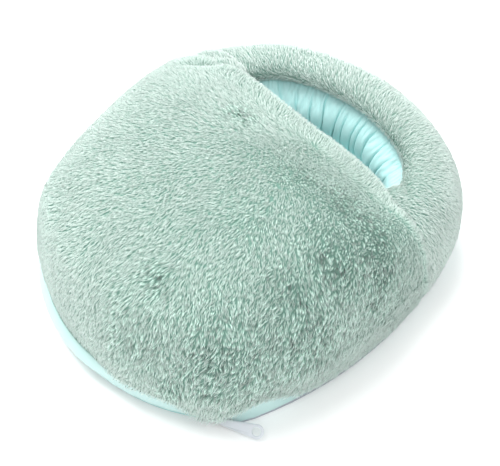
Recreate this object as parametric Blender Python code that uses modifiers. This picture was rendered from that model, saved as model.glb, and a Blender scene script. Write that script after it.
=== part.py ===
"""An electric foot warmer: a plush slipper for both feet, with a heating pad in its base.

The toe points along -Y and the mouth is at the +Y end. The sole stands on Z = 0.
"""
import math

import bmesh
import bpy
from mathutils import Matrix, Vector

# Outline of the base, as arcs from the middle of the toe round one side to the middle of the heel.
# Each arc has a radius and the direction, in degrees, that its far end faces.
TOE_RADIUS = 0.1548
TOE_END = -52.0
TOE_CORNER_RADIUS = 0.061
TOE_CORNER_END = -22.0
SIDE_RADIUS = 0.322
SIDE_END = 14.0
HEEL_CORNER_RADIUS = 0.098
HEEL_CORNER_END = 64.5

# Upper: two plush panels, the toe cap and the heel collar, that meet at a seam on each side.
BULGE = 0.001
BULGE_HEIGHT = 0.031
DOME_HEIGHT = 0.142
DOME_FULLNESS = 3.1
DOME_BACK_SLOPE_START = -0.030
FLANK_HEIGHT = 0.120
SEAM_SHARE = 0.62
SEAM_TUCK = 0.004
SEAM_TUCK_ROWS = 4
SIDE_DROP = 0.008
FUR_THICKNESS = 0.006
WADDING_THICKNESS = 0.0094
WADDING_SEAM_SHARE = 0.4
WADDING_TOP_DROP = 0.0030
WADDING_LAG = 0.014
LINING_THICKNESS = 0.002

# Lip: the free rear edge of the toe cap, where the feet go in.
LIP_HALF_WIDTH = 0.0875
LIP_PLACE = 0.066
LIP_END_HEIGHT = 0.094
LIP_ARCH = 0.008
LIP_DIP_START = -0.010
LIP_SHOULDER = 0.040
LIP_ROLL_RADIUS = 0.0116
LIP_ROLL_STEPS = 4
LIP_ROLL_TURN = 180.0
LIP_RETURN = 0.010
LIP_FILLING_SHARE = 0.85
LIP_FILLING_INSET = 5

# Collar: the stuffed roll round the heel.
COLLAR_HEIGHT = 0.090
COLLAR_CREST_INSET = 0.023
COLLAR_INNER_INSET = 0.037
COLLAR_INNER_DROP = 0.009
COLLAR_FULLNESS = 2.4
COLLAR_RUN_OUT = 0.046

# Heel lining: the gathered cloth inside the collar.
LINING_PUFF = 0.013
LINING_FOOT_INSET = 0.042
LINING_TOP_DROP = 0.0024
LINING_COLUMNS = 75
LINING_REACH_SHARE = 0.95
LINING_ROWS = 5
PLEATS = 15
PLEAT_DEPTH = 0.0035
PLEAT_DRIFT_SHARE = 0.35

# Base: the band round it, the layers in it, from the sole up.
BAND_HEIGHT = 0.026
BAND_LEAN = 0.001
BAND_THICKNESS = 0.0016
SOLE_THICKNESS = 0.002
FOAM_THICKNESS = 0.009
FOAM_INSET = 0.008
PAD_SHEET_THICKNESS = 0.0012
PAD_GAP = 0.0044
PAD_INSET = 0.016
FOOTBED_THICKNESS = 0.0050
FOOTBED_INSET = 0.010

# Heating circuit.
WIRE_DIAMETER = 0.0026
WIRE_SPACING = 0.022
WIRE_RUNS = 10
WIRE_EDGE = 0.010
WIRE_RETURN_GAP = 0.014
WIRE_TURN_STEPS = 4
THERMOSTAT_SIZE = (0.020, 0.007, 0.0036)
THERMOSTAT_EDGE = 0.0008
FUSE_LENGTH = 0.012
FUSE_DIAMETER = 0.0036
SPLICE_SIZE = (0.010, 0.008, 0.0036)
SPLICE_INSET = 0.042
LEAD_DIAMETER = 0.0036

# Power inlet in the heel's band.
INLET_CENTRE_HEIGHT = 0.0149
INLET_BODY = (0.0170, 0.0115, 0.0100)
INLET_CAVITY = (0.0140, 0.0085, 0.0070)
INLET_PROUD = 0.0025
INLET_PIN_DIAMETER = 0.0023
INLET_PIN_SPACING = 0.0086
INLET_PIN_LENGTH = 0.0095
BEZEL_MARGIN = 0.0035
BEZEL_THICKNESS = 0.0020
CLIP_MARGIN = 0.0040
CLIP_THICKNESS = 0.0015
INLET_EDGE = 0.0012
HEEL_SAG = 0.0006
FOAM_NOTCH_DEPTH = 0.0500

# Slide fastener under the band's flap, round the toe.
ZIP_HEIGHT = 0.0060
ZIP_INSET = 0.0042
ZIP_COIL_DIAMETER = 0.0014
ZIP_COIL_GAP = 0.0016
ZIP_TAPE_THICKNESS = 0.0008
ZIP_TAPE_TOP = 0.018
ZIP_STOP_LENGTH = 0.0020
ZIP_STEPS = 24
FLAP_BOTTOM = 0.0084
FLAP_OVERRUN = 0.0101
FLAP_RUN = 0.0100
SLIDER_LENGTH = 0.0100
SLIDER_WIDTH = 0.0076
SLIDER_PLATE = 0.0010
SLIDER_PARK = 0.0007
SLIDER_POST_LENGTH = 0.0024
CROWN_LENGTH = 0.0064
CROWN_WIDTH = 0.0014
CROWN_BAR = 0.0010
CROWN_OPENING = 0.0019

# Pull tab: a soft plastic paddle, twisted in its neck so that it lies flat.
PULL_LENGTH = 0.0450
PULL_SWING_OUT = 11.0
PULL_TWIST = -48.0
PULL_EYE_WIDTH = 0.0041
PULL_EYE_LENGTH = 0.0060
PULL_BAR = 0.0011
PULL_ARM = 0.0009
PULL_NECK_END = 0.0150
PULL_NECK_WIDTH = 0.0058
PULL_PADDLE_WIDTH = 0.0115
PULL_THICKNESS = 0.0017
PULL_HOLE_DIAMETER = 0.0070

# Gaps and overruns.
GAP = 0.0003
CUT = 0.001
MERGE = 0.00005

SKIN_COLUMNS = 32
SKIN_ROWS = 10
ROW_POWER = 1.4
COLLAR_COLUMNS = 32
BAND_COLUMNS = 30


def direction(degrees):
    """Unit vector in plan that faces the given way."""
    angle = math.radians(degrees)
    return Vector((math.cos(angle), math.sin(angle)))


def smooth(value):
    """Eases from 0 to 1."""
    value = min(max(value, 0.0), 1.0)
    return value * value * (3 - 2 * value)


def mix(first, second, share):
    """Point or number that lies between two others."""
    return first * (1 - share) + second * share


def build_arcs():
    """The arcs of one half of the base: centre, radius, start and end direction."""
    ends = (
        (TOE_RADIUS, TOE_END),
        (TOE_CORNER_RADIUS, TOE_CORNER_END),
        (SIDE_RADIUS, SIDE_END),
        (HEEL_CORNER_RADIUS, HEEL_CORNER_END),
    )
    centre, start, last = Vector((0, 0)), -90.0, None
    arcs = []
    for radius, end in ends:
        if last is not None:
            centre = centre + direction(start) * (last - radius)
        arcs.append((centre.copy(), radius, start, end))
        start, last = end, radius
    joint = centre + direction(start) * last
    heel_radius = joint.x / math.cos(math.radians(start))
    arcs.append((joint - direction(start) * heel_radius, heel_radius, start, 90.0))
    front = arcs[0][0].y - arcs[0][1] - BULGE
    back = arcs[-1][0].y + arcs[-1][1] + BAND_LEAN * INLET_CENTRE_HEIGHT / BAND_HEIGHT + INLET_PROUD
    middle = Vector((0, (front + back) / 2))
    return [(centre - middle, radius, start, end) for centre, radius, start, end in arcs]


ARCS = build_arcs()
ARC_LENGTHS = [radius * math.radians(end - start) for _, radius, start, end in ARCS]
HALF_LENGTH = sum(ARC_LENGTHS)
TOE_CENTRE = ARCS[0][0]
TOE_SHARE = ARC_LENGTHS[0] / HALF_LENGTH
FLAP_END_SHARE = TOE_SHARE + FLAP_OVERRUN / HALF_LENGTH
FLAP_RUN_SHARE = FLAP_RUN / HALF_LENGTH
COLLAR_INNER_HEIGHT = COLLAR_HEIGHT - COLLAR_INNER_DROP


def rim(share, offset=0.0):
    """Point of the outline and its outward direction.

    The share runs from 0 at the toe to 1 at the heel along the +X side, and is negative on the other side.
    """
    left = min(abs(share), 1.0) * HALF_LENGTH
    for (centre, radius, start, end), length in zip(ARCS, ARC_LENGTHS):
        if left <= length + MERGE:
            break
        left -= length
    outward = direction(start + math.degrees(left / radius))
    point = centre + outward * (radius + offset)
    if abs(share) >= 1.0 or share == 0:
        point.x, outward.x = 0.0, 0.0
        outward.normalize()
    if share < 0:
        point.x, outward.x = -point.x, -outward.x
    return point, outward


def bulge_reach(x, y):
    """Distance from the middle to the bulge's outline, in the direction of a point."""
    aim = math.atan2(y, abs(x))
    low, high = 0.0, 1.0
    for _ in range(24):
        share = (low + high) / 2
        point, _ = rim(share, BULGE)
        if math.atan2(point.y, point.x) < aim:
            low = share
        else:
            high = share
    return rim(low, BULGE)[0].length


def side_drop(x):
    """How much lower the stuffing has settled at a place across the mouth; it sits higher on the -X side."""
    return SIDE_DROP * x / LIP_HALF_WIDTH


def lip_height(x):
    """Height of the lip's top over a place across the mouth."""
    return LIP_END_HEIGHT + LIP_ARCH * (1 - min(abs(x) / LIP_HALF_WIDTH, 1.0) ** 2) - side_drop(x)


def plain_dome(x, y):
    """Height of the toe cap's plush without the dip to the lip."""
    share = min(math.hypot(x, y) / bulge_reach(x, y), 1.0)
    full = (1 - share ** DOME_FULLNESS) ** (1 / DOME_FULLNESS)
    back = smooth((y - DOME_BACK_SLOPE_START) / (LIP_PLACE - DOME_BACK_SLOPE_START))
    return BULGE_HEIGHT + (mix(DOME_HEIGHT, FLANK_HEIGHT - side_drop(x), back) - BULGE_HEIGHT) * full


def dome_height(x, y):
    """Height of the toe cap's plush over a point in plan."""
    inner = math.copysign(min(abs(x), LIP_HALF_WIDTH), x)
    drop = plain_dome(inner, LIP_PLACE) - lip_height(inner)
    dip = smooth((y - LIP_DIP_START) / (LIP_PLACE - LIP_DIP_START))
    shoulder = smooth(1 - (abs(x) - LIP_HALF_WIDTH) / LIP_SHOULDER)
    return plain_dome(x, y) - drop * dip * shoulder


def meridian(share):
    """Points of the toe cap's plush, from its lower edge over the dome to the lip."""
    foot, _ = rim(share, BULGE)
    edge, _ = rim(share, BULGE - CUT)
    lip = Vector((LIP_HALF_WIDTH * share / SEAM_SHARE, LIP_PLACE))
    run = lip - foot
    last = 1 - (LIP_RETURN + 8 * GAP) / run.length
    points = [Vector((edge.x, edge.y, BAND_HEIGHT + GAP))]
    for place in [last * (row / SKIN_ROWS) ** ROW_POWER for row in range(SKIN_ROWS + 1)] + [1.0]:
        spot = foot + run * place
        points.append(Vector((spot.x, spot.y, dome_height(spot.x, spot.y))))
    points[1].z = BULGE_HEIGHT
    return points


def lip_roll(before, last):
    """Points that turn the plush round the lip and a little way back under it."""
    ahead = (last - before).normalized()
    normal = (Vector((0, 0, 1)) - ahead * ahead.z).normalized()
    centre = last - normal * LIP_ROLL_RADIUS
    points = []
    for step in range(1, LIP_ROLL_STEPS + 1):
        angle = math.radians(LIP_ROLL_TURN * step / LIP_ROLL_STEPS)
        points.append(centre + (normal * math.cos(angle) + ahead * math.sin(angle)) * LIP_ROLL_RADIUS)
    return points + [points[-1] - ahead * LIP_RETURN]


def collar_profile(row, rows):
    """Inset from the bulge and height of the collar's plush, from the bulge over the crest to its inner edge."""
    turn = row / rows * math.pi
    across, up = math.cos(turn), math.sin(turn)
    power = 2 / COLLAR_FULLNESS
    if across >= 0:
        inset = COLLAR_CREST_INSET * (1 - across ** power)
        height = BULGE_HEIGHT + (COLLAR_HEIGHT - BULGE_HEIGHT) * up ** power
    else:
        inset = COLLAR_CREST_INSET + (COLLAR_INNER_INSET - COLLAR_CREST_INSET) * abs(across) ** power
        height = COLLAR_INNER_HEIGHT + (COLLAR_HEIGHT - COLLAR_INNER_HEIGHT) * max(up, 0) ** power
    return inset, height


def seam_blend(share, lag=0.0):
    """0 at the side seam, and 1 where the collar has its full roll."""
    return smooth(((abs(share) - SEAM_SHARE) * HALF_LENGTH - lag) / COLLAR_RUN_OUT)


def carry(point, share):
    """Moves a point of the side seam round the outline, to another share on the same side."""
    start, out = rim(math.copysign(SEAM_SHARE, share), BULGE)
    offset = Vector((point.x, point.y)) - start
    place, turned = rim(share, BULGE + offset.dot(out))
    place += Vector((-turned.y, turned.x)) * offset.dot(Vector((-out.y, out.x)))
    return Vector((place.x, place.y, point.z))


def collar_section(share):
    """Points of the collar's plush from its lower edge to its inner edge."""
    flank = meridian(math.copysign(SEAM_SHARE, share))
    blend = seam_blend(share)
    edge, _ = rim(share, BULGE - CUT)
    points = [Vector((edge.x, edge.y, BAND_HEIGHT + GAP))]
    for row, run_out in enumerate(flank[1:]):
        inset, height = collar_profile(row, len(flank) - 2)
        place, _ = rim(share, BULGE - inset)
        points.append(mix(carry(run_out, share), Vector((place.x, place.y, height)), blend))
    return points


def collection(name):
    """New collection in the scene."""
    made = bpy.data.collections.new(name)
    bpy.context.scene.collection.children.link(made)
    return made


def clear_scene():
    """Removes what the scene holds."""
    for item in list(bpy.data.objects):
        bpy.data.objects.remove(item, do_unlink=True)


clear_scene()
PARTS = collection("foot_warmer")
CUTTERS = collection("cutters")

FINISHES = {
    "plush": ((0.52, 0.68, 0.62), 0.95, 0.0),
    "aqua_cloth": ((0.56, 0.86, 0.85), 0.85, 0.0),
    "band_cloth": ((0.66, 0.90, 0.87), 0.80, 0.0),
    "wadding": ((0.90, 0.90, 0.88), 1.0, 0.0),
    "foam": ((0.86, 0.84, 0.70), 1.0, 0.0),
    "pad_cloth": ((0.85, 0.85, 0.83), 0.9, 0.0),
    "silicone": ((0.80, 0.30, 0.22), 0.5, 0.0),
    "black_plastic": ((0.03, 0.03, 0.03), 0.45, 0.0),
    "white_plastic": ((0.85, 0.87, 0.88), 0.35, 0.0),
    "zip_tape": ((0.60, 0.86, 0.84), 0.85, 0.0),
    "brass": ((0.75, 0.58, 0.28), 0.3, 1.0),
}


def finish(item, name):
    """Gives a part a material of its own."""
    colour, roughness, metallic = FINISHES[name]
    material = bpy.data.materials.new(item.name + "_" + name)
    material.use_nodes = True
    shader = material.node_tree.nodes["Principled BSDF"]
    shader.inputs["Base Color"].default_value = (*colour, 1)
    shader.inputs["Roughness"].default_value = roughness
    shader.inputs["Metallic"].default_value = metallic
    material.diffuse_color = (*colour, 1)
    item.data.materials.clear()
    item.data.materials.append(material)


def add_object(name, mesh, look, group=None):
    """New part that shows a mesh."""
    item = bpy.data.objects.new(name, mesh)
    (group or PARTS).objects.link(item)
    if look:
        finish(item, look)
    return item


def mesh_from(name, build, recalculate=True):
    """Mesh that a function fills."""
    shape = bmesh.new()
    build(shape)
    if recalculate:
        bmesh.ops.recalc_face_normals(shape, faces=shape.faces)
    mesh = bpy.data.meshes.new(name)
    shape.to_mesh(mesh)
    shape.free()
    mesh.shade_smooth()
    mesh.set_sharp_from_angle(angle=math.radians(50))
    return mesh


def loft(shape, sections, closed=False, caps=False):
    """Joins a row of sections with quads; a closed section goes round."""
    rings = [[shape.verts.new(point) for point in section] for section in sections]
    count = len(rings[0])
    for near, far in zip(rings, rings[1:]):
        for first in range(count if closed else count - 1):
            second = (first + 1) % count
            shape.faces.new((near[first], far[first], far[second], near[second]))
    if caps:
        shape.faces.new(list(reversed(rings[0])))
        shape.faces.new(rings[-1])


def loft_ring(shape, sections):
    """Lofts a ring of sections whose faces look out."""
    loft(shape, list(zip(*sections)), closed=True)
    shape.normal_update()
    shape.faces.ensure_lookup_table()
    if shape.faces[0].normal.dot(shape.faces[0].calc_center_median()) < 0:
        bmesh.ops.reverse_faces(shape, faces=shape.faces)


def add_modifier(item, kind, **settings):
    """New modifier with its settings."""
    made = item.modifiers.new(kind.title(), kind)
    for key, value in settings.items():
        setattr(made, key, value)
    return made


def thicken(item, thickness):
    """Gives a surface its thickness, inwards."""
    add_modifier(item, "SOLIDIFY", thickness=thickness, offset=-1)


def cut(item, cutter):
    """Takes one shape out of another."""
    cutter.hide_render = True
    cutter.display_type = "WIRE"
    add_modifier(item, "BOOLEAN", operation="DIFFERENCE", object=cutter)


def join(item, other):
    """Unites a shape with a guide that only lends its shape."""
    other.hide_render = True
    other.display_type = "WIRE"
    add_modifier(item, "BOOLEAN", operation="UNION", object=other)


def grid_normals(sections, way=Vector((0, 0, 1))):
    """Normals of the surface that a grid of points forms; the one furthest along a way faces that way."""
    shape = bmesh.new()
    loft(shape, sections)
    shape.normal_update()
    furthest = max(shape.verts, key=lambda vertex: vertex.co.dot(way))
    facing = math.copysign(1, furthest.normal.dot(way))
    found = iter([vertex.normal * facing for vertex in shape.verts])
    shape.free()
    grid = [[next(found) for _ in section] for section in sections]
    for line in grid:
        line[0].z = 0
        line[0].normalize()
    return grid


def deepen(sections, normals, depth):
    """Moves a grid of points against its normals."""
    return [[point - normal * depth for point, normal in zip(section, line)]
            for section, line in zip(sections, normals)]


def sheet(name, outer, inner, look):
    """Solid between two grids of points; every quad is cut along the same diagonal, so that layers nest."""
    def build(shape):
        rings = [[[shape.verts.new(point) for point in section] for section in grid] for grid in (outer, inner)]
        over, under = rings
        columns, rows = len(over) - 1, len(over[0]) - 1
        for column in range(columns):
            near, far, near_under, far_under = over[column], over[column + 1], under[column], under[column + 1]
            for row in range(rows):
                shape.faces.new((near[row], far[row], far[row + 1], near[row + 1]))
                shape.faces.new((near_under[row], near_under[row + 1], far_under[row + 1], far_under[row]))
            shape.faces.new((near[0], near_under[0], far_under[0], far[0]))
            shape.faces.new((near[rows], far[rows], far_under[rows], near_under[rows]))
        for row in range(rows):
            shape.faces.new((over[0][row], over[0][row + 1], under[0][row + 1], under[0][row]))
            shape.faces.new((over[-1][row], under[-1][row], under[-1][row + 1], over[-1][row + 1]))
        if shape.calc_volume(signed=True) < 0:
            bmesh.ops.reverse_faces(shape, faces=shape.faces)

    item = add_object(name, mesh_from(name, build, recalculate=False), look)
    add_modifier(item, "TRIANGULATE", quad_method="FIXED")
    return item


def share_steps(low, high, count):
    """Even steps from one share to another."""
    return [low + (high - low) * step / count for step in range(count + 1)]


def heel_share(place):
    """Share of the outline at a place round the heel: -1 and 1 are the side seams, and 0 is the middle."""
    return math.copysign(1 - abs(place) * (1 - SEAM_SHARE), place)


TOE_SHARES = share_steps(-SEAM_SHARE, SEAM_SHARE, SKIN_COLUMNS)
HEEL_SHARES = [heel_share(place) for place in share_steps(-1.0, 1.0, COLLAR_COLUMNS)]


class Panel:
    """One panel of the upper: the grid of its plush, with its ends tucked into the side seams."""

    def __init__(self, sections, way, neighbour=None):
        self.sections = sections
        self.normals = grid_normals(sections)
        self.shift = Vector((0, way * GAP, 0))
        if neighbour:
            for end in (0, -1):
                self.normals[end] = neighbour.normals[end][:len(sections[end])]

    def layer(self, depth, rows=None):
        """The grid at a depth below the plush, with as many rows as are asked for."""
        grid = [line[:rows] for line in deepen(self.sections, self.normals, depth)]
        for end in (0, -1):
            for row, normal in enumerate(self.normals[end][:len(grid[end])]):
                grid[end][row] += self.shift - normal * SEAM_TUCK * smooth(row / SEAM_TUCK_ROWS)
        return grid


def make_toe_cap():
    """The toe cap's plush, its wadding and the lining of the toe pocket."""
    sections = []
    for share in TOE_SHARES:
        line = meridian(share)
        sections.append(line + lip_roll(line[-2], line[-1]))
    rows = len(meridian(0.0)) - 1
    panel = Panel(sections, -1)
    sheet("toe_cap_fur", panel.layer(0), panel.layer(FUR_THICKNESS), "plush")
    depth = FUR_THICKNESS + GAP
    sheet("toe_cap_wadding", panel.layer(depth, rows), panel.layer(depth + WADDING_THICKNESS, rows), "wadding")
    depth += WADDING_THICKNESS + 2 * GAP
    sheet("toe_pocket_lining", panel.layer(depth, rows), panel.layer(depth + LINING_THICKNESS, rows), "aqua_cloth")
    inside = panel.layer(FUR_THICKNESS)[LIP_FILLING_INSET:-LIP_FILLING_INSET]
    rings = [lip_filling(line[rows:rows + LIP_ROLL_STEPS + 1]) for line in inside]
    mesh = mesh_from("lip_wadding", lambda shape: loft(shape, rings, closed=True, caps=True))
    add_object("lip_wadding", mesh, "wadding")
    return panel


def lip_filling(hollow):
    """Round section of the stuffing in the lip's roll, from the half round inside of the roll's plush."""
    centre = mix(hollow[0], hollow[-1], 0.5)
    offsets = [(point - centre) * LIP_FILLING_SHARE for point in hollow]
    return [centre + offset for offset in offsets] + [centre - offset for offset in offsets[1:-1]]


def pleat_depth(place):
    """How far the heel's lining is drawn back at a place round it, from -1 to 1."""
    drift = PLEAT_DRIFT_SHARE * math.sin(place * 4.1 + 0.6) + PLEAT_DRIFT_SHARE * math.sin(place * 9.7 + 2.0)
    turn = math.pi * (PLEATS * (place + 1) / 2 + drift)
    swell = 0.75 + 0.25 * math.sin(place * 13.0 + 1.1)
    return PLEAT_DEPTH * swell * (1 - abs(math.sin(turn)) ** 0.8)


def heel_inside(share, flank, back, drop, lag=0.0, pleat=0.0):
    """Points up the inside of the heel, set back towards the collar; the flank's line is at the side seam."""
    late, blend = seam_blend(share, lag), seam_blend(share)
    points = []
    for up, near in flank:
        height = mix(FOOTBED_TOP + GAP, COLLAR_INNER_HEIGHT - drop, up)
        inset = mix(LINING_FOOT_INSET, COLLAR_INNER_INSET - FUR_THICKNESS / 2, up)
        inset += LINING_PUFF * math.sin(math.pi * up) ** 0.8 - pleat * math.sin(math.pi * mix(0.1, 0.9, up))
        inset -= back * (1 + smooth(2 * up - 1))
        spot = mix(carry(near, share).xy, rim(share, BULGE - inset)[0], late)
        points.append(Vector((spot.x, spot.y, mix(near.z, height, blend))))
    return points


def flank_points(line, count=None):
    """Points of a section with their shares of its rows, all of them or a few."""
    last = len(line) - 1
    chosen = [round(row * last / count) for row in range(count + 1)] if count else range(last + 1)
    return [(row / last, line[row]) for row in chosen]


def make_heel(toe_cap):
    """The collar's plush, its stuffing and the gathered lining inside it."""
    panel = Panel([collar_section(share) for share in HEEL_SHARES], 1, toe_cap)
    rows = len(panel.sections[0]) - 1
    sheet("heel_collar_fur", panel.layer(0), panel.layer(FUR_THICKNESS), "plush")
    grid = panel.layer(FUR_THICKNESS + WADDING_THICKNESS + LINING_THICKNESS + 2 * GAP, rows)
    flanks = {-1: flank_points(grid[0], LINING_ROWS), 1: flank_points(grid[-1], LINING_ROWS)}
    sections = []
    for place in share_steps(-LINING_REACH_SHARE, LINING_REACH_SHARE, LINING_COLUMNS):
        share = heel_share(place)
        pleat = pleat_depth(place) * seam_blend(share)
        sections.append(heel_inside(share, flanks[math.copysign(1, share)], 0.0, LINING_TOP_DROP, pleat=pleat))
    normals = grid_normals(sections, Vector((0, 1, 0)))
    sheet("heel_lining", sections, deepen(sections, normals, -LINING_THICKNESS), "aqua_cloth")
    grid = panel.layer(FUR_THICKNESS + WADDING_THICKNESS * WADDING_SEAM_SHARE, rows)
    flanks = {-1: flank_points(grid[0])[:-2], 1: flank_points(grid[-1])[:-2]}
    back = PLEAT_DEPTH + 2 * LINING_THICKNESS
    inner = [heel_inside(share, flanks[math.copysign(1, share)], back, WADDING_TOP_DROP, WADDING_LAG)
             for share in HEEL_SHARES]
    outer = panel.layer(FUR_THICKNESS + 2 * GAP, rows - 2)
    for end in (0, -1):
        for point in outer[end] + inner[end]:
            point.y += 3 * GAP
    sheet("heel_collar_wadding", outer, inner, "wadding")


def slab(name, inset, low, thickness, look, steps=15):
    """Flat layer of the base, inside the outline by an inset or by a function of the share."""
    depth = inset if callable(inset) else (lambda share: inset)
    shares = share_steps(0, 1, 2 * steps)
    half = [rim(share, -depth(share))[0] for share in shares]
    loop = half + [Vector((-point.x, point.y)) for point in half[-2:0:-1]]

    def build(shape):
        rings = [[Vector((point.x, point.y, height)) for point in loop] for height in (low, low + thickness)]
        loft(shape, rings, closed=True, caps=True)

    return add_object(name, mesh_from(name, build), look)


def sole_inset(share):
    """The sole stops behind the zip's tape, and elsewhere behind the band."""
    return SOLE_ZIP_INSET if abs(share) <= FLAP_END_SHARE else SOLE_INSET


def band_bottom(share):
    """The band's lower edge: lifted over the zip, and on the ground elsewhere."""
    return FLAP_BOTTOM * (1 - smooth((abs(share) - FLAP_END_SHARE) / FLAP_RUN_SHARE))


def make_band():
    """The cloth band round the base, with a hole for the power inlet."""
    half = sorted(share_steps(0, 1, BAND_COLUMNS) + [FLAP_END_SHARE, FLAP_END_SHARE + FLAP_RUN_SHARE / 2,
                                                     FLAP_END_SHARE + FLAP_RUN_SHARE])
    shares = [-share for share in half[:0:-1]] + half[:-1]
    sections = []
    for share in shares:
        low = band_bottom(share)
        section = []
        for height in (low, BAND_HEIGHT):
            place, _ = rim(share, BAND_LEAN * height / BAND_HEIGHT)
            section.append(Vector((place.x, place.y, height)))
        sections.append(section)
    mesh = mesh_from("side_band", lambda shape: loft_ring(shape, sections), recalculate=False)
    band = add_object("side_band", mesh, "band_cloth")
    thicken(band, BAND_THICKNESS)
    width, depth, height = INLET_BODY
    hole = box("inlet_hole", (width + 2 * GAP, depth, height + 2 * GAP), None, CUTTERS)
    hole.parent = INLET
    cut(band, hole)


def box(name, size, look, group=None, bevel=0.0, place=(0, 0, 0)):
    """Box with its own middle at its origin, and rounded edges."""
    def build(shape):
        bmesh.ops.create_cube(shape, size=1.0)
        bmesh.ops.scale(shape, vec=size, verts=shape.verts)

    item = add_object(name, mesh_from(name, build), look, group)
    item.location = place
    if bevel:
        add_modifier(item, "BEVEL", width=bevel, segments=2, limit_method="ANGLE")
    return item


def cylinder(name, diameter, length, look, group=None, along="Z", place=(0, 0, 0), sides=16):
    """Cylinder with its own middle at its origin."""
    def build(shape):
        bmesh.ops.create_cone(shape, cap_ends=True, segments=sides, radius1=diameter / 2,
                              radius2=diameter / 2, depth=length)
        turn = {"X": Matrix.Rotation(math.pi / 2, 3, "Y"), "Y": Matrix.Rotation(math.pi / 2, 3, "X"),
                "Z": Matrix.Identity(3)}[along]
        bmesh.ops.rotate(shape, cent=(0, 0, 0), matrix=turn, verts=shape.verts)

    item = add_object(name, mesh_from(name, build), look, group)
    item.location = place
    return item


def make_base():
    """Sole, foam board and footbed; the heating pad lies between the foam and the footbed."""
    slab("sole_panel", sole_inset, 0.0, SOLE_THICKNESS, "band_cloth")
    foam = slab("base_foam", FOAM_INSET, FOAM_BOTTOM, FOAM_THICKNESS, "foam")
    width = INLET_BODY[0] + 2 * CLIP_MARGIN + 2 * CUT
    notch = box("foam_notch", (width, FOAM_NOTCH_DEPTH, FOAM_THICKNESS * 4), None, CUTTERS)
    notch.location = (0, HEEL_Y, FOAM_BOTTOM + FOAM_THICKNESS)
    cut(foam, notch)
    slab("heater_pad_bottom", PAD_INSET, PAD_BOTTOM, PAD_SHEET_THICKNESS, "pad_cloth")
    slab("heater_pad_top", PAD_INSET, PAD_TOP - PAD_SHEET_THICKNESS, PAD_SHEET_THICKNESS, "pad_cloth")
    slab("footbed_wadding", FOOTBED_INSET, FOOTBED_BOTTOM, FOOTBED_THICKNESS, "wadding")
    slab("footbed_lining", FOOTBED_INSET, FOOTBED_TOP - LINING_THICKNESS, LINING_THICKNESS, "aqua_cloth")


def pad_reach(x, edge):
    """The lowest and highest y inside the pad's outline, a margin in from its edge."""
    front, back = 0.0, 0.0
    for share in share_steps(0, 1, 400):
        place, _ = rim(share, -PAD_INSET - edge)
        if place.x >= abs(x):
            front, back = min(front, place.y), max(back, place.y)
    return front, back


def wire_points():
    """The heating wire's route: a row of runs from toe to heel, joined by half turns."""
    radius = WIRE_SPACING / 2
    first = WIRE_SPACING * (WIRE_RUNS - 1) / 2
    splice_y = HEEL_Y - SPLICE_INSET
    points = [(THERMOSTAT_END + 2 * GAP, splice_y)]
    top = splice_y - WIRE_RETURN_GAP
    points += [(THERMOSTAT_END + WIRE_SPACING, splice_y)]
    for run in range(WIRE_RUNS):
        x = first - run * WIRE_SPACING
        front, _ = pad_reach(abs(x) + radius, WIRE_EDGE)
        _, back = pad_reach(abs(x), WIRE_EDGE)
        low = front + radius
        high = min(back, top) - radius
        if run == 0:
            points += [(x - radius / 2, min(back, splice_y) - radius / 2), (x, min(back, splice_y) - radius)]
        ends = [(x, high), (x, low)] if run % 2 == 0 else [(x, low), (x, high)]
        points += ends if run else [ends[1]]
        if run < WIRE_RUNS - 1:
            turn_y = ends[1][1]
            way = -1 if run % 2 == 0 else 1
            next_front, _ = pad_reach(abs(x - WIRE_SPACING) + radius, WIRE_EDGE)
            _, next_back = pad_reach(abs(x - WIRE_SPACING), WIRE_EDGE)
            next_y = next_front + radius if way < 0 else min(next_back, top) - radius
            for step in range(1, WIRE_TURN_STEPS):
                angle = math.pi * step / WIRE_TURN_STEPS
                share = step / WIRE_TURN_STEPS
                points.append((x - radius + radius * math.cos(angle),
                               mix(turn_y, next_y, share) + way * radius * math.sin(angle)))
    _, back = pad_reach(first, WIRE_EDGE)
    points[-1] = (-first, min(back, splice_y) - radius)
    points += [(-first + radius / 2, min(back, splice_y) - radius / 2),
               (FUSE_END - WIRE_SPACING, splice_y), (FUSE_END - 2 * GAP, splice_y)]
    return points


def tube(name, points, diameter, look):
    """Round wire along a route."""
    curve = bpy.data.curves.new(name, "CURVE")
    curve.dimensions = "3D"
    curve.bevel_depth = diameter / 2
    curve.bevel_resolution = 2
    curve.use_fill_caps = True
    line = curve.splines.new("POLY")
    line.points.add(len(points) - 1)
    for point, place in zip(line.points, points):
        point.co = (*place, 1)
    return add_object(name, curve, look)


def smooth_route(corners, steps):
    """Points of a smooth curve through a route's corners."""
    ends = [corners[0] * 2 - corners[1], *corners, corners[-1] * 2 - corners[-2]]
    points = []
    for one, two, three, four in zip(ends, ends[1:], ends[2:], ends[3:]):
        for step in range(steps):
            t = step / steps
            points.append(0.5 * (2 * two + (three - one) * t + (2 * one - 5 * two + 4 * three - four) * t ** 2
                                 + (3 * two - one - 3 * three + four) * t ** 3))
    return points + [corners[-1]]


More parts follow.
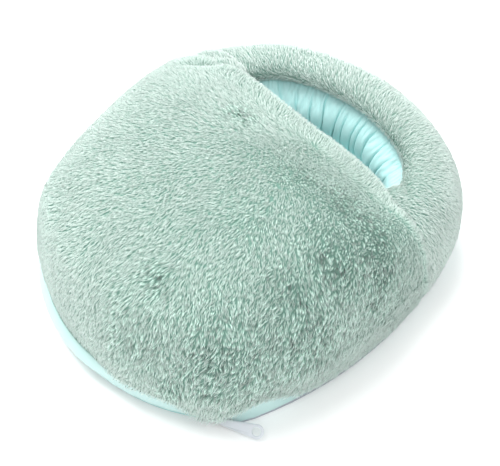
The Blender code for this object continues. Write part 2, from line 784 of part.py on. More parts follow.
def make_circuit():
    """Heating wire, its thermostat and thermal fuse, the splice and the lead from the inlet."""
    level = PAD_BOTTOM + PAD_SHEET_THICKNESS + GAP
    splice_y = HEEL_Y - SPLICE_INSET
    route = [Vector((x, y, level + WIRE_DIAMETER / 2)) for x, y in wire_points()]
    tube("heating_wire", route, WIRE_DIAMETER, "silicone")
    box("lead_splice", SPLICE_SIZE, "black_plastic", bevel=THERMOSTAT_EDGE,
        place=(0, splice_y, level + SPLICE_SIZE[2] / 2))
    box("thermostat", THERMOSTAT_SIZE, "black_plastic", bevel=THERMOSTAT_EDGE,
        place=(THERMOSTAT_END - THERMOSTAT_SIZE[0] / 2, splice_y, level + THERMOSTAT_SIZE[2] / 2))
    cylinder("thermal_fuse", FUSE_DIAMETER, FUSE_LENGTH, "white_plastic", along="X",
             place=(FUSE_END + FUSE_LENGTH / 2, splice_y, level + FUSE_DIAMETER / 2))
    start = INLET.matrix_world @ Vector((0, -INLET_BODY[1] / 2 - GAP, 0))
    end = Vector((0, splice_y + SPLICE_SIZE[1] / 2 + GAP, level + LEAD_DIAMETER / 2))
    aim = INLET.matrix_world.to_3x3() @ Vector((0, -LEAD_DIAMETER, 0))
    tube("heater_lead", smooth_route([start, start + aim, end + Vector((0, LEAD_DIAMETER, 0)), end], 4),
         LEAD_DIAMETER, "black_plastic")


def frame_plate(name, margin, thickness, middle_y, look):
    """Flat ring that fits round the inlet's body."""
    width, _, height = INLET_BODY
    plate = box(name, (width + 2 * margin, thickness, height + 2 * margin), look, bevel=THERMOSTAT_EDGE / 2)
    window = box(name + "_window", (width + 2 * GAP, thickness + 2 * CUT, height + 2 * GAP), None, CUTTERS)
    for item in (plate, window):
        item.parent = INLET
        item.location = (0, middle_y, 0)
    cut(plate, window)
    return plate


def make_inlet():
    """Two-pin power inlet: a moulded body, its pins, the bezel outside the band and the clip behind it."""
    width, depth, height = INLET_BODY
    body = box("inlet_body", INLET_BODY, "black_plastic", bevel=INLET_EDGE)
    cavity = box("inlet_cavity", INLET_CAVITY, None, CUTTERS, bevel=INLET_EDGE)
    body.parent = cavity.parent = INLET
    cavity.location = (0, depth / 2 - INLET_CAVITY[1] / 2 + CUT, 0)
    cut(body, cavity)
    for side, word in ((-1, "left"), (1, "right")):
        place = (side * INLET_PIN_SPACING / 2, -depth / 2 + INLET_PIN_LENGTH / 2, 0)
        pin = cylinder("inlet_pin_" + word, INLET_PIN_DIAMETER, INLET_PIN_LENGTH, "brass", along="Y", place=place)
        seat = cylinder("pin_seat_" + word, INLET_PIN_DIAMETER + 2 * GAP, INLET_PIN_LENGTH + 2 * CUT, None,
                        CUTTERS, along="Y", place=place)
        pin.parent = seat.parent = INLET
        cut(body, seat)
    frame_plate("inlet_bezel", BEZEL_MARGIN, BEZEL_THICKNESS, BEZEL_Y, "black_plastic")
    frame_plate("inlet_clip", CLIP_MARGIN, CLIP_THICKNESS, CLIP_Y, "black_plastic")


def swept(name, profile, start, end, steps, look):
    """Solid swept round the toe's centre; the profile is in radius and height."""
    def build(shape):
        corners = [shape.verts.new((radius * math.cos(start), radius * math.sin(start), height))
                   for radius, height in profile]
        face = shape.faces.new(corners)
        bmesh.ops.spin(shape, geom=[face, *face.edges, *face.verts], cent=(0, 0, 0), axis=(0, 0, 1),
                       angle=end - start, steps=steps)

    item = add_object(name, mesh_from(name, build), look)
    item.location = (TOE_CENTRE.x, TOE_CENTRE.y, 0)
    return item


def ring_profile(radius, height, diameter, sides=6):
    """Round section of a coil."""
    return [(radius + diameter / 2 * math.cos(math.tau * side / sides),
             height + diameter / 2 * math.sin(math.tau * side / sides)) for side in range(sides)]


def make_zip():
    """The slide fastener round the toe: two tapes, two coils, their stops, the slider and its pull."""
    chain = TOE_RADIUS - ZIP_INSET
    left, right = math.radians(-180 - TOE_END), math.radians(TOE_END)
    rise = (ZIP_COIL_GAP + ZIP_COIL_DIAMETER) / 2
    swept("zip_coil_lower", ring_profile(chain, ZIP_HEIGHT - rise, ZIP_COIL_DIAMETER), left, right, ZIP_STEPS,
          "zip_tape")
    swept("zip_coil_upper", ring_profile(chain, ZIP_HEIGHT + rise, ZIP_COIL_DIAMETER), left, right, ZIP_STEPS,
          "zip_tape")
    half = ZIP_TAPE_THICKNESS / 2
    low_edge = ZIP_HEIGHT - rise - ZIP_COIL_DIAMETER / 2 - GAP
    lower = [(chain - half, CUT / 2), (chain + half, CUT / 2), (chain + half, low_edge), (chain - half, low_edge)]
    swept("zip_tape_lower", lower, left, right, ZIP_STEPS, "zip_tape")
    high_edge = ZIP_HEIGHT + rise + ZIP_COIL_DIAMETER / 2 + GAP
    back = TOE_RADIUS + BAND_LEAN * ZIP_TAPE_TOP / BAND_HEIGHT - BAND_THICKNESS - 2 * GAP
    upper = [(chain - half, high_edge), (chain + half, high_edge), (back, ZIP_TAPE_TOP),
             (back - ZIP_TAPE_THICKNESS, ZIP_TAPE_TOP)]
    swept("zip_tape_upper", upper, left, right, ZIP_STEPS, "zip_tape")
    gap, stop = GAP / chain, ZIP_STOP_LENGTH / chain
    tall = rise + ZIP_COIL_DIAMETER / 2
    wide = ZIP_COIL_DIAMETER / 2
    block = [(chain - wide, ZIP_HEIGHT - tall), (chain + wide, ZIP_HEIGHT - tall),
             (chain + wide, ZIP_HEIGHT + tall), (chain - wide, ZIP_HEIGHT + tall)]
    swept("zip_stop_closed", block, right + gap, right + gap + stop, 1, "zip_tape")
    swept("zip_stop_open", block, left - gap - stop, left - gap, 1, "zip_tape")
    make_slider(chain)


def make_slider(chain):
    """The slider, which turns about the toe's centre, and the pull on its crown."""
    inside = ZIP_COIL_DIAMETER / 2 + GAP
    plate = (SLIDER_PLATE, SLIDER_LENGTH, SLIDER_WIDTH)
    slider = box("zip_slider", plate, "white_plastic", bevel=SLIDER_PLATE / 4)
    inner = box("slider_inner_plate", plate, None, CUTTERS, bevel=SLIDER_PLATE / 4)
    post = box("slider_post", (2 * inside + SLIDER_PLATE, SLIDER_POST_LENGTH, ZIP_COIL_GAP - 2 * GAP),
               None, CUTTERS)
    crown = box("slider_crown", (CROWN_OPENING + CROWN_BAR + SLIDER_PLATE / 2, CROWN_LENGTH, CROWN_WIDTH), None,
                CUTTERS)
    sunk = SLIDER_PLATE / 4
    window = box("crown_window", (CROWN_OPENING + sunk, CROWN_LENGTH - 2 * CROWN_BAR, CROWN_WIDTH + 2 * CUT), None,
                 CUTTERS)
    outer = chain + inside + SLIDER_PLATE / 2
    face = outer + SLIDER_PLATE / 2
    for item, radius in ((slider, outer), (inner, chain - inside - SLIDER_PLATE / 2), (post, chain),
                         (crown, face + (CROWN_OPENING + CROWN_BAR - SLIDER_PLATE / 2) / 2),
                         (window, face + (CROWN_OPENING - sunk) / 2)):
        item.data.transform(Matrix.Translation((radius, 0, ZIP_HEIGHT)))
    cut(crown, window)
    for item in (inner, post, crown, window):
        item.parent = slider
    for item in (inner, post, crown):
        join(slider, item)
    slider.location = (TOE_CENTRE.x, TOE_CENTRE.y, 0)
    park = math.radians(TOE_END) - (SLIDER_LENGTH / 2 + SLIDER_PARK) / chain
    slider.rotation_euler = (0, 0, park)
    make_pull(slider, face + CROWN_OPENING / 2)


def make_pull(slider, hinge):
    """The soft pull: an eye on the crown's bar, a neck that twists, and a paddle with a hole."""
    bar, length = PULL_BAR / 2, PULL_LENGTH
    tip = PULL_PADDLE_WIDTH / 2
    stations = [(-bar, PULL_EYE_WIDTH), (bar, PULL_EYE_WIDTH), (PULL_EYE_LENGTH, PULL_EYE_WIDTH),
                (PULL_EYE_LENGTH + PULL_BAR, PULL_EYE_WIDTH)]
    steps = 5
    for step in range(1, steps + 1):
        share = step / steps
        x = mix(PULL_EYE_LENGTH + PULL_BAR, PULL_NECK_END, share)
        stations.append((x, mix(PULL_EYE_WIDTH, PULL_NECK_WIDTH, share)))
    centre = length - tip
    for step in range(1, steps + 1):
        share = step / steps
        stations.append((mix(PULL_NECK_END, centre, share), mix(PULL_NECK_WIDTH, PULL_PADDLE_WIDTH, share)))
    for turn in (25, 45, 62, 76):
        angle = math.radians(turn)
        stations.append((centre + tip * math.sin(angle), PULL_PADDLE_WIDTH * math.cos(angle)))
    half_bar = PULL_BAR / 2

    def build(shape):
        sections = []
        for x, width in stations:
            twist = smooth((x - PULL_EYE_LENGTH - PULL_BAR) / (PULL_NECK_END - PULL_EYE_LENGTH - PULL_BAR))
            half = mix(half_bar, PULL_THICKNESS / 2, twist)
            corners = [(half, -width / 2), (half, width / 2), (-half, width / 2), (-half, -width / 2)]
            turn = Matrix.Rotation(math.radians(PULL_TWIST) * twist, 3, "X")
            sections.append([turn @ Vector((x, across, up)) for across, up in corners])
        loft(shape, sections, closed=True, caps=True)

    pull = add_object("zip_pull_tab", mesh_from("zip_pull_tab", build), "white_plastic")
    slot_width = PULL_EYE_WIDTH - 2 * PULL_ARM
    slot = box("pull_slot", (PULL_EYE_LENGTH - bar, 2 * PULL_EYE_WIDTH, slot_width), None, CUTTERS,
               place=((PULL_EYE_LENGTH + bar) / 2, 0, 0))
    hole = cylinder("pull_hole", PULL_HOLE_DIAMETER, PULL_PADDLE_WIDTH, None, CUTTERS, along="Y",
                    place=(centre, 0, 0), sides=24)
    hole.rotation_euler = (math.radians(PULL_TWIST), 0, 0)
    slot.parent = hole.parent = pull
    cut(pull, slot)
    cut(pull, hole)
    pull.parent = slider
    pull.location = (hinge, 0, ZIP_HEIGHT)
    pull.rotation_euler = (0, 0, math.radians(90 - PULL_SWING_OUT))


SOLE_INSET = BAND_THICKNESS + GAP
SOLE_ZIP_INSET = ZIP_INSET + ZIP_TAPE_THICKNESS / 2 + 2 * GAP
FOAM_BOTTOM = SOLE_THICKNESS + GAP
PAD_BOTTOM = FOAM_BOTTOM + FOAM_THICKNESS + GAP
PAD_TOP = PAD_BOTTOM + 2 * PAD_SHEET_THICKNESS + PAD_GAP
FOOTBED_BOTTOM = PAD_TOP + GAP
FOOTBED_TOP = FOOTBED_BOTTOM + FOOTBED_THICKNESS + GAP + LINING_THICKNESS
HEEL_Y = rim(1.0)[0].y
THERMOSTAT_END = SPLICE_SIZE[0] / 2 + GAP + THERMOSTAT_SIZE[0]
FUSE_END = -SPLICE_SIZE[0] / 2 - GAP - FUSE_LENGTH
INLET_OFFSET = INLET_PROUD - INLET_BODY[1] / 2
BEZEL_Y = BEZEL_THICKNESS / 2 + GAP - INLET_OFFSET
CLIP_Y = -BAND_THICKNESS - HEEL_SAG - GAP - CLIP_THICKNESS / 2 - INLET_OFFSET

INLET = bpy.data.objects.new("inlet_axis", None)
PARTS.objects.link(INLET)
INLET.location = (0, HEEL_Y + BAND_LEAN * INLET_CENTRE_HEIGHT / BAND_HEIGHT + INLET_OFFSET, INLET_CENTRE_HEIGHT)
INLET.rotation_euler = (-math.atan(BAND_LEAN / BAND_HEIGHT), 0, 0)
bpy.context.view_layer.update()

make_heel(make_toe_cap())
make_band()
make_base()
make_inlet()
make_circuit()
make_zip()
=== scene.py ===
import math

import bmesh
import bpy
import numpy as np
from mathutils import Matrix, Vector, kdtree
from mathutils.bvhtree import BVHTree


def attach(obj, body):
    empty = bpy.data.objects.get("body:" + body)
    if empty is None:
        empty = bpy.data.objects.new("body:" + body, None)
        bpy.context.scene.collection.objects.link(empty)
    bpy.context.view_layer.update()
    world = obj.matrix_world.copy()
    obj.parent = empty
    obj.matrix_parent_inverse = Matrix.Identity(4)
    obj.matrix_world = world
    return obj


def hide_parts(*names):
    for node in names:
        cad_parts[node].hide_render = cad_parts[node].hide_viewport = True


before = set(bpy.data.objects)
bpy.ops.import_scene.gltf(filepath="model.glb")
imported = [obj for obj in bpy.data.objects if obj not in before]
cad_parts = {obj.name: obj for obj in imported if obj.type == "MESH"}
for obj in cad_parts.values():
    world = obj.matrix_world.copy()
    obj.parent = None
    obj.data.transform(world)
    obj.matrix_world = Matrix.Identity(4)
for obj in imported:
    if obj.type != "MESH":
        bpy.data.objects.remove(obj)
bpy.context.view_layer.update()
MM = 0.001

# %% [markdown]
# ## The camera
# A product photograph is taken with a long lens from well above. The camera stands on a sphere round the
# warmer, so two angles and a distance place it, and its shift puts the warmer where the picture has it.
# %% Camera
CAMERA_AZIMUTH = 43.442
CAMERA_ELEVATION = 50.1
CAMERA_DISTANCE = 1.3489
CAMERA_LENS = 120.65
CAMERA_TARGET = Vector((0, 0.001, 0.0509))
PICTURE_WIDTH = 500
PICTURE_SHIFT = (0.777, -18.126)


def place_camera():
    """Camera at the photograph's viewing angle."""
    azimuth, elevation = math.radians(CAMERA_AZIMUTH), math.radians(CAMERA_ELEVATION)
    back = Vector((math.sin(azimuth) * math.cos(elevation), -math.cos(azimuth) * math.cos(elevation),
                   math.sin(elevation)))
    right = Vector((math.cos(azimuth), math.sin(azimuth), 0))
    data = bpy.data.cameras.new("camera")
    data.lens = CAMERA_LENS
    data.shift_x, data.shift_y = (pixels / PICTURE_WIDTH for pixels in PICTURE_SHIFT)
    camera = bpy.data.objects.new("camera", data)
    camera.matrix_world = (Matrix.Translation(CAMERA_TARGET + back * CAMERA_DISTANCE)
                           @ Matrix((right, back.cross(right), back)).transposed().to_4x4())
    bpy.context.scene.collection.objects.link(camera)
    bpy.context.scene.camera = camera
    print("camera at", [round(value, 3) for value in camera.matrix_world.translation])


place_camera()

# %% [markdown]
# ## Helpers for colours and materials
# Colours are read off the real thing as sRGB hex values, but a shader works with linear light, so one
# function turns one into the other. Another adds a node, its settings and its links in one call, and two
# more build the fine grain and the mixed colour that most surfaces here have.
# %% Colour and node helpers


def linear(code):
    """Linear colour, with an alpha of 1, from an sRGB hex code."""
    values = [int(code[place:place + 2], 16) / 255 for place in (0, 2, 4)]
    lights = [value / 12.92 if value <= 0.04045 else ((value + 0.055) / 1.055) ** 2.4 for value in values]
    return lights + [1.0]


def add_node(tree, kind, inputs=(), **settings):
    """New node; its inputs are given as numbers, colours or other nodes' outputs."""
    node = tree.nodes.new(kind)
    for name, value in settings.items():
        setattr(node, name, value)
    for name, value in dict(inputs).items():
        if isinstance(value, bpy.types.NodeSocket):
            tree.links.new(value, node.inputs[name])
        else:
            node.inputs[name].default_value = value
    return node


def new_material(name, numbers):
    """New material: its node tree and its shader, with the shader's own numbers."""
    material = bpy.data.materials.new(name)
    material.use_nodes = True
    tree = material.node_tree
    shader = tree.nodes["Principled BSDF"]
    for key, value in numbers.items():
        shader.inputs[key].default_value = value
    return material, tree, shader


def add_grain(tree, shader, size, detail, strength, depth):
    """Fine uneven relief on a shader; returns its noise and the object's own coordinates."""
    place = add_node(tree, "ShaderNodeTexCoord").outputs["Object"]
    noise = add_node(tree, "ShaderNodeTexNoise", {"Vector": place, "Scale": 1 / size, "Detail": detail})
    bump = add_node(tree, "ShaderNodeBump", {"Height": noise.outputs["Fac"], "Strength": strength,
                                             "Distance": depth})
    tree.links.new(bump.outputs["Normal"], shader.inputs["Normal"])
    return noise.outputs["Fac"], place


def mix_colours(tree, shader, share, first, second):
    """Base colour between two hex codes."""
    colour = add_node(tree, "ShaderNodeMix", {"Factor": share, "A": linear(first), "B": linear(second)},
                      data_type="RGBA")
    tree.links.new(colour.outputs["Result"], shader.inputs["Base Color"])


def dress(piece, material):
    """Gives a piece one material."""
    piece.data.materials.clear()
    piece.data.materials.append(material)


# %% [markdown]
# ## The plush
# Plush is knitted polyester with a pile a few millimetres long. Each hair is painted darker at its root, as
# shade where light hardly reaches, and paler at its tip. So the material reads two values that every hair
# carries: how far along the hair a point is, and the hair's tone, which also holds painted light and shade in
# raised tufts and creases. A little sheen gives the pale rim that pile has against the light.
# %% Plush material
# Colours along a hair, from the painted root shade to the pale tip.
PILE_SHADES = [(0.0, "486F62"), (0.3, "9CC5B7"), (0.6, "D6F0E6"), (1.0, "F2FCF8")]


def plush_material():
    """Polyester pile, brushed: pale tips over roots painted dark as shade."""
    material, tree, shader = new_material("brushed_polyester_pile", {
        "Roughness": 0.75, "Sheen Weight": 0.25, "Sheen Roughness": 0.5, "Specular IOR Level": 0.25})
    along = add_node(tree, "ShaderNodeAttribute", attribute_name="along")
    tone = add_node(tree, "ShaderNodeAttribute", attribute_name="tone")
    ramp = add_node(tree, "ShaderNodeValToRGB", {"Fac": along.outputs["Fac"]})
    elements = ramp.color_ramp.elements
    for place, _ in PILE_SHADES[1:-1]:
        elements.new(place)
    for element, (_, colour) in zip(elements, PILE_SHADES):
        element.color = linear(colour)
    shaded = add_node(tree, "ShaderNodeVectorMath", {0: ramp.outputs["Color"], 1: tone.outputs["Vector"]},
                      operation="MULTIPLY")
    tree.links.new(shaded.outputs["Vector"], shader.inputs["Base Color"])
    return material


PLUSH = plush_material()

# %% [markdown]
# ## Meshes as arrays
# A skin of pile needs the places, directions and triangles of a surface, many thousand at a time. A loop over
# vertices would be slow, so meshes are read into arrays and written back in one go. One function adds every
# new piece, shades it smooth, gives it its finish and lets it ride on a body.
# %% Reading, moving and adding meshes


def unit(vectors):
    """Vectors of length 1."""
    return vectors / np.maximum(np.linalg.norm(vectors, axis=1, keepdims=True), 1e-9)


def vertex_places(mesh):
    """Places of a mesh's vertices as rows."""
    places = np.empty(len(mesh.vertices) * 3, np.float32)
    mesh.vertices.foreach_get("co", places)
    return places.reshape(-1, 3)


def read_mesh(mesh):
    """Vertex places and normals, and the corners of each triangle."""
    mesh.calc_loop_triangles()
    normals = np.empty(len(mesh.vertices) * 3, np.float32)
    mesh.vertex_normals.foreach_get("vector", normals)
    corners = np.empty(len(mesh.loop_triangles) * 3, np.int32)
    mesh.loop_triangles.foreach_get("vertices", corners)
    return vertex_places(mesh), normals.reshape(-1, 3), corners.reshape(-1, 3)


def move_vertices(mesh, places):
    """Puts a mesh's vertices at new places."""
    mesh.vertices.foreach_set("co", places.astype(np.float32).ravel())
    mesh.update()


def mesh_of(shape, name):
    """Mesh from a bmesh, which is freed."""
    mesh = bpy.data.meshes.new(name)
    shape.to_mesh(mesh)
    shape.free()
    return mesh


def linked(name, data):
    """New object in the scene."""
    thing = bpy.data.objects.new(name, data)
    bpy.context.scene.collection.objects.link(thing)
    return thing


def add_piece(name, mesh, material, body="root"):
    """New piece that shows a mesh in a material and rides on a body."""
    piece = linked(name, mesh)
    dress(piece, material)
    mesh.shade_smooth()
    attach(piece, body)
    return piece


def final_mesh(carrier):
    """Mesh of an object with its modifiers or its bevel applied; the object itself is removed."""
    graph = bpy.context.evaluated_depsgraph_get()
    mesh = bpy.data.meshes.new_from_object(carrier.evaluated_get(graph), depsgraph=graph)
    bpy.data.objects.remove(carrier)
    return mesh


# %% [markdown]
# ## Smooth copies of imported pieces
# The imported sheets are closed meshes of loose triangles. A copy is merged into quads and subdivided, but a
# subdivision alone pulls a form inwards. So its cage is moved outwards by what it missed, a few times over,
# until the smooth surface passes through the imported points.
# %% Smooth copies
FLAT_ANGLE = math.radians(40)
FIT_ROUNDS = 4


def welded(node):
    """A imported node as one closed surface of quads."""
    shape = bmesh.new()
    shape.from_mesh(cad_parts[node].data)
    bmesh.ops.remove_doubles(shape, verts=shape.verts, dist=0.02 * MM)
    bmesh.ops.join_triangles(shape, faces=shape.faces, angle_face_threshold=FLAT_ANGLE,
                             angle_shape_threshold=FLAT_ANGLE)
    return shape


def subdivided(mesh, levels):
    """A mesh with its subdivision applied."""
    carrier = linked("carrier", mesh)
    modifier = carrier.modifiers.new("smooth", "SUBSURF")
    modifier.levels = modifier.render_levels = levels
    return final_mesh(carrier)


def smoothed(mesh, levels):
    """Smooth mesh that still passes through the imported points."""
    wanted = vertex_places(mesh)
    for _ in range(FIT_ROUNDS):
        reached = vertex_places(subdivided(mesh, levels))[:len(wanted)]
        move_vertices(mesh, vertex_places(mesh) + wanted - reached)
    print("furthest point from the packed form:", round(float(np.abs(wanted - reached).max()) * 1e3, 2), "mm")
    return subdivided(mesh, levels)


# %% [markdown]
# ## Where the plush settles
# Stuffed plush doesn't keep the line of its pattern. It hangs over the band along the +X side and over the
# zip's slider, is drawn in above the band on the -X side, and creases where the toe cap meets the collar.
# Each of these is a share from 0 to 1, by height and by the turn round the toe. Sculpting could do the same,
# but shares stay tied to named sizes, and both the skin and its hairs can read them.
# %% Shares of the settling
TOE_CENTRE_Y = -15.4 * MM
SEAM_HEIGHT = 26 * MM
SLIDER_TURN, SLIDER_SPREAD = 37.0, 8.0
SLIDER_SAG, SIDE_SAG = 11.5 * MM, 12.5 * MM
SIDE_TURNS = (50, 70), (142, 124)
BAND_SHOWS = -122, -98
TUCK_STARTS = 10, -4
TUCK_HEIGHTS = 60 * MM, 35 * MM
CREASE_WIDTH = 3.2 * MM
# Both ends of each crease: x, y and z in millimetres.
CREASES = [((-106, 34, 109), (-88, 76, 97)), ((-116, 64, 101), (-94, 81, 93)),
           ((-116, 83, 92), (-95, 89, 89))]


def ease(values):
    """Eases numbers from 0 to 1."""
    values = np.clip(values, 0, 1)
    return values * values * (3 - 2 * values)


def fade(values, start, end):
    """Eases from 0 where the values are at start to 1 where they are at end."""
    return ease((values - start) / (end - start))


def bump_at(places, x, y, z, spread):
    """Round bump of height 1 at a place given in millimetres."""
    away = (places - np.array([x, y, z]) * MM) / (spread * MM)
    return np.exp(-(away ** 2).sum(1))


def turn_of(places):
    """Place round the toe in degrees: 0 at its tip, 90 on the +X side."""
    return np.degrees(np.arctan2(places[:, 0], TOE_CENTRE_Y - places[:, 1]))


def outward_of(places):
    """Level direction away from the middle of the toe's round end."""
    return unit(np.column_stack([places[:, 0], places[:, 1] - TOE_CENTRE_Y, np.zeros(len(places))]))


def side_share(places):
    """How far the plush hangs over the band along the +X side, where it hides the band."""
    starts, ends = SIDE_TURNS
    return fade(turn_of(places), *starts) * fade(turn_of(places), *ends)


def slider_share(places):
    """How far the plush hangs over the zip's slider."""
    return np.exp(-((turn_of(places) - SLIDER_TURN) / SLIDER_SPREAD) ** 2)


def sag_of(places):
    """How much lower the plush hangs there."""
    return np.maximum(SLIDER_SAG * slider_share(places), SIDE_SAG * side_share(places))


def tucked_share(places):
    """How far the plush is drawn in above the band, on the -X side, where the band shows in full."""
    turn = turn_of(places)
    return fade(turn, *TUCK_STARTS) * fade(turn, *BAND_SHOWS) * fade(places[:, 2], *TUCK_HEIGHTS)


def creased(places):
    """How near a crease the points are, less so towards its ends."""
    near = np.zeros(len(places))
    for start, end in np.array(CREASES) * MM:
        along = np.clip((places - start) @ (end - start) / ((end - start) @ (end - start)), 0, 1)
        away = np.linalg.norm(places - start - along[:, None] * (end - start), axis=1)
        near = np.maximum(near, np.exp(-(away / CREASE_WIDTH) ** 2) * (1 - 0.5 * np.abs(2 * along - 1)))
    return near


# %% [markdown]
# ## The skin under the pile
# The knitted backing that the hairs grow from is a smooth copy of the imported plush. It rises by the loft of
# its stuffing, more in two full spots, and then settles. The toe cap rises only where it faces up or away
# from the mouth, so that the lip keeps its line, but the rolled collar rises all round.
# %% Settling the backing
LOFT = 3.4 * MM
LOFT_HEIGHTS = SEAM_HEIGHT, 40 * MM
SAG_TOP = 62 * MM
SLIDER_PUSH, SIDE_PUSH, TUCK = 2.3 * MM, 1.2 * MM, 3 * MM
CREASE_DEPTH = 3.2 * MM
MOUTH_MIDDLE = (0, 90 * MM)
# Full spots of the stuffing: x, y, z, spread and height in millimetres.
FULL_SPOTS = [(-98, 42, 104, 46, 7), (122, 112, 60, 44, 4)]


def settle(mesh, rolled):
    """Gives the plush its loft and its creases, and lets it hang or tuck above the band."""
    places, normals, _ = read_mesh(mesh)
    from_mouth = unit(np.column_stack([places[:, :2] - MOUTH_MIDDLE, np.zeros(len(places))]))
    facing = (normals * from_mouth).sum(1) + normals[:, 2]
    shown = np.maximum(ease(1.5 * facing + 0.2), rolled)
    rise = LOFT * shown * fade(places[:, 2], *LOFT_HEIGHTS)
    for x, y, z, spread, height in FULL_SPOTS:
        rise += height * MM * shown * bump_at(places, x, y, z, spread)
    rise -= CREASE_DEPTH * creased(places)
    low = fade(places[:, 2], SAG_TOP, SEAM_HEIGHT)
    outward = outward_of(places)
    push = (SLIDER_PUSH * slider_share(places) + SIDE_PUSH * side_share(places)) * low
    push -= TUCK * tucked_share(places) * ease(3 * (normals * outward).sum(1))
    moved = places + normals * rise[:, None] + outward * push[:, None]
    moved[:, 2] -= sag_of(places) * low
    move_vertices(mesh, moved)


# %% [markdown]
# ## The part of the skin that has pile
# Plush is bare on its inner side and in its seams. Hairs are wanted only where nothing lies close in front of
# the surface, and a ray that leaves each triangle tells that. The same function then finishes the backing.
# %% Backing pieces
BACKING_LEVELS = 2
CLEAR_START, CLEAR_DISTANCE = 0.3 * MM, 3.0 * MM
# Place of the backing on the pile's colour ramp: painted shade, the dark deep under the hairs.
ROOT_SHADE_SHARE = 0.12


def search_tree(meshes):
    """Tree that finds what a ray hits on some meshes."""
    shape = bmesh.new()
    for mesh in meshes:
        shape.from_mesh(mesh)
    tree = BVHTree.FromBMesh(shape)
    shape.free()
    return tree


def open_triangles(tree, places, normals, corners):
    """Which triangles have nothing close in front of them."""
    clear = []
    for middle, way in zip(places[corners].mean(axis=1), normals[corners].mean(axis=1)):
        way = Vector(way).normalized()
        hit = tree.ray_cast(Vector(middle) + way * CLEAR_START, way, CLEAR_DISTANCE)
        clear.append(hit[0] is None)
    return np.array(clear)


def add_values(mesh, name, values):
    """Gives every vertex of a mesh a number that its material reads."""
    attribute = mesh.attributes.new(name, "FLOAT", "POINT")
    attribute.data.foreach_set("value", values.astype(np.float32).ravel())


def make_backing(node, name, rolled):
    """Smooth copy of a plush sheet; returns its places, its normals and its open triangles."""
    mesh = smoothed(mesh_of(welded(node), name), BACKING_LEVELS)
    settle(mesh, rolled)
    points, normals, corners = read_mesh(mesh)
    others = [other.data for key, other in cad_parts.items() if key != node]
    clear = open_triangles(search_tree([*others, mesh]), points, normals, corners)
    # Painted shade: the backing is coloured like the dark roots of the hairs.
    add_values(mesh, "along", np.full(len(points), ROOT_SHADE_SHARE))
    add_values(mesh, "tone", np.ones(len(points)))
    piece = add_piece(name, mesh, PLUSH)
    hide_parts(node)
    print(name, "triangles:", len(corners), "open:", int(clear.sum()))
    return points, normals, corners[clear]


TOE_SKIN = make_backing("toe_cap_fur", "toe_cap_backing", rolled=0)
COLLAR_SKIN = make_backing("heel_collar_fur", "heel_collar_backing", rolled=1)

# %% [markdown]
# ## One hair
# A hair is a thin three sided spike, arched like real pile, with one flat side turned outwards to the light.
# It is widest in its middle, as a bundle of finer hairs is. It has only ten triangles, because it is repeated
# well over a hundred thousand times.
# %% Hair
HAIR_ARCH = 0.16
HAIR_BELLY = 1.7


def make_hair():
    """Places, faces and heights of a straight hair that stands on its root and is 1 long; its arch to +X is
    added where it is copied.
    """
    shape = bmesh.new()
    bmesh.ops.create_cone(shape, cap_ends=True, segments=3, radius1=0.5, radius2=0.0, depth=1.0)
    bmesh.ops.rotate(shape, matrix=Matrix.Rotation(math.radians(90), 3, "Z"), verts=shape.verts)
    bmesh.ops.translate(shape, vec=(0, 0, 0.5), verts=shape.verts)
    bmesh.ops.remove_doubles(shape, verts=shape.verts, dist=0.001)
    cut = bmesh.ops.bisect_plane(shape, geom=[*shape.verts, *shape.edges, *shape.faces],
                                 plane_co=(0, 0, 0.5), plane_no=(0, 0, 1))
    ring = [item for item in cut["geom_cut"] if isinstance(item, bmesh.types.BMVert)]
    middle = sum((vert.co.copy() for vert in ring), Vector()) / len(ring)
    for vert in ring:
        vert.co = middle + (vert.co - middle) * HAIR_BELLY
    bmesh.ops.triangulate(shape, faces=shape.faces)
    shape.verts.ensure_lookup_table()
    places = np.array([vert.co for vert in shape.verts])
    faces = np.array([[vert.index for vert in face.verts] for face in shape.faces])
    shape.free()
    return places, faces, places[:, 2].copy()


HAIR_PLACES, HAIR_FACES, HAIR_HEIGHTS = make_hair()
print("hair:", len(HAIR_PLACES), "vertices,", len(HAIR_FACES), "triangles")

# %% [markdown]
# ## Laying the pile
# Pile isn't random: hands have brushed it, so neighbouring hairs lean the same way. The lay runs away from
# the mouth and down the sides, turned a little by slow waves. On the +X side it runs to the toe, and near the
# lip it runs over the lip. Where a hand has raised it the wrong way, it stands up and looks rough, and its
# hairs are painted darker there with more of the painted root shade.
# %% Lay of the pile
NAP_CENTRE = np.array([20 * MM, 62 * MM, 0])
TOE_LAY, TOE_LAY_X = np.array([0.35, -1.0, 0]), (30 * MM, 100 * MM)
LIP_LAY, LIP_LAY_Y = np.array([-0.3, 1.0, 0]), (44 * MM, 64 * MM)
DOWN = np.array([0, 0, -0.9])
# Raised patches: x, y, z and spread in millimetres, and how far the nap stands up, from 0 to 1.
RAISED_NAP = [(112, -30, 112, 34, 1.0), (112, 12, 104, 30, 1.0), (128, 0, 80, 30, 0.8),
              (108, -66, 104, 34, 0.8), (86, 10, 116, 26, 0.8), (52, 2, 132, 22, 0.5),
              (-30, 22, 124, 15, 0.9), (35, -130, 120, 14, 0.9), (96, -121, 95, 22, 0.6),
              (60, -60, 138, 30, 0.35), (88, -118, 78, 48, 0.95), (118, -70, 78, 48, 0.8),
              (40, -150, 80, 36, 0.6), (69, -153, 43, 15, 0.9), (94, -136, 50, 16, 0.9)]


def waves(places, lengths, phase):
    """Slow, smooth variation over space, mostly from -1 to 1."""
    total = np.zeros(len(places))
    for step, length in enumerate(lengths):
        turn = phase + 2.4 * step
        way = np.array([math.cos(turn), math.sin(turn), 0.6 * math.sin(1.7 * turn)])
        side = np.array([-way[1], way[0], 0.5])
        crossing = np.cos(places @ side * math.tau / length * 0.7)
        total += np.sin(places @ way * math.tau / length + turn) * crossing
    return total / math.sqrt(len(lengths))


def raised_of(roots):
    """How far the nap stands up there."""
    raised = np.zeros(len(roots))
    for x, y, z, spread, strength in RAISED_NAP:
        raised = np.maximum(raised, strength * bump_at(roots, x, y, z, spread))
    return raised


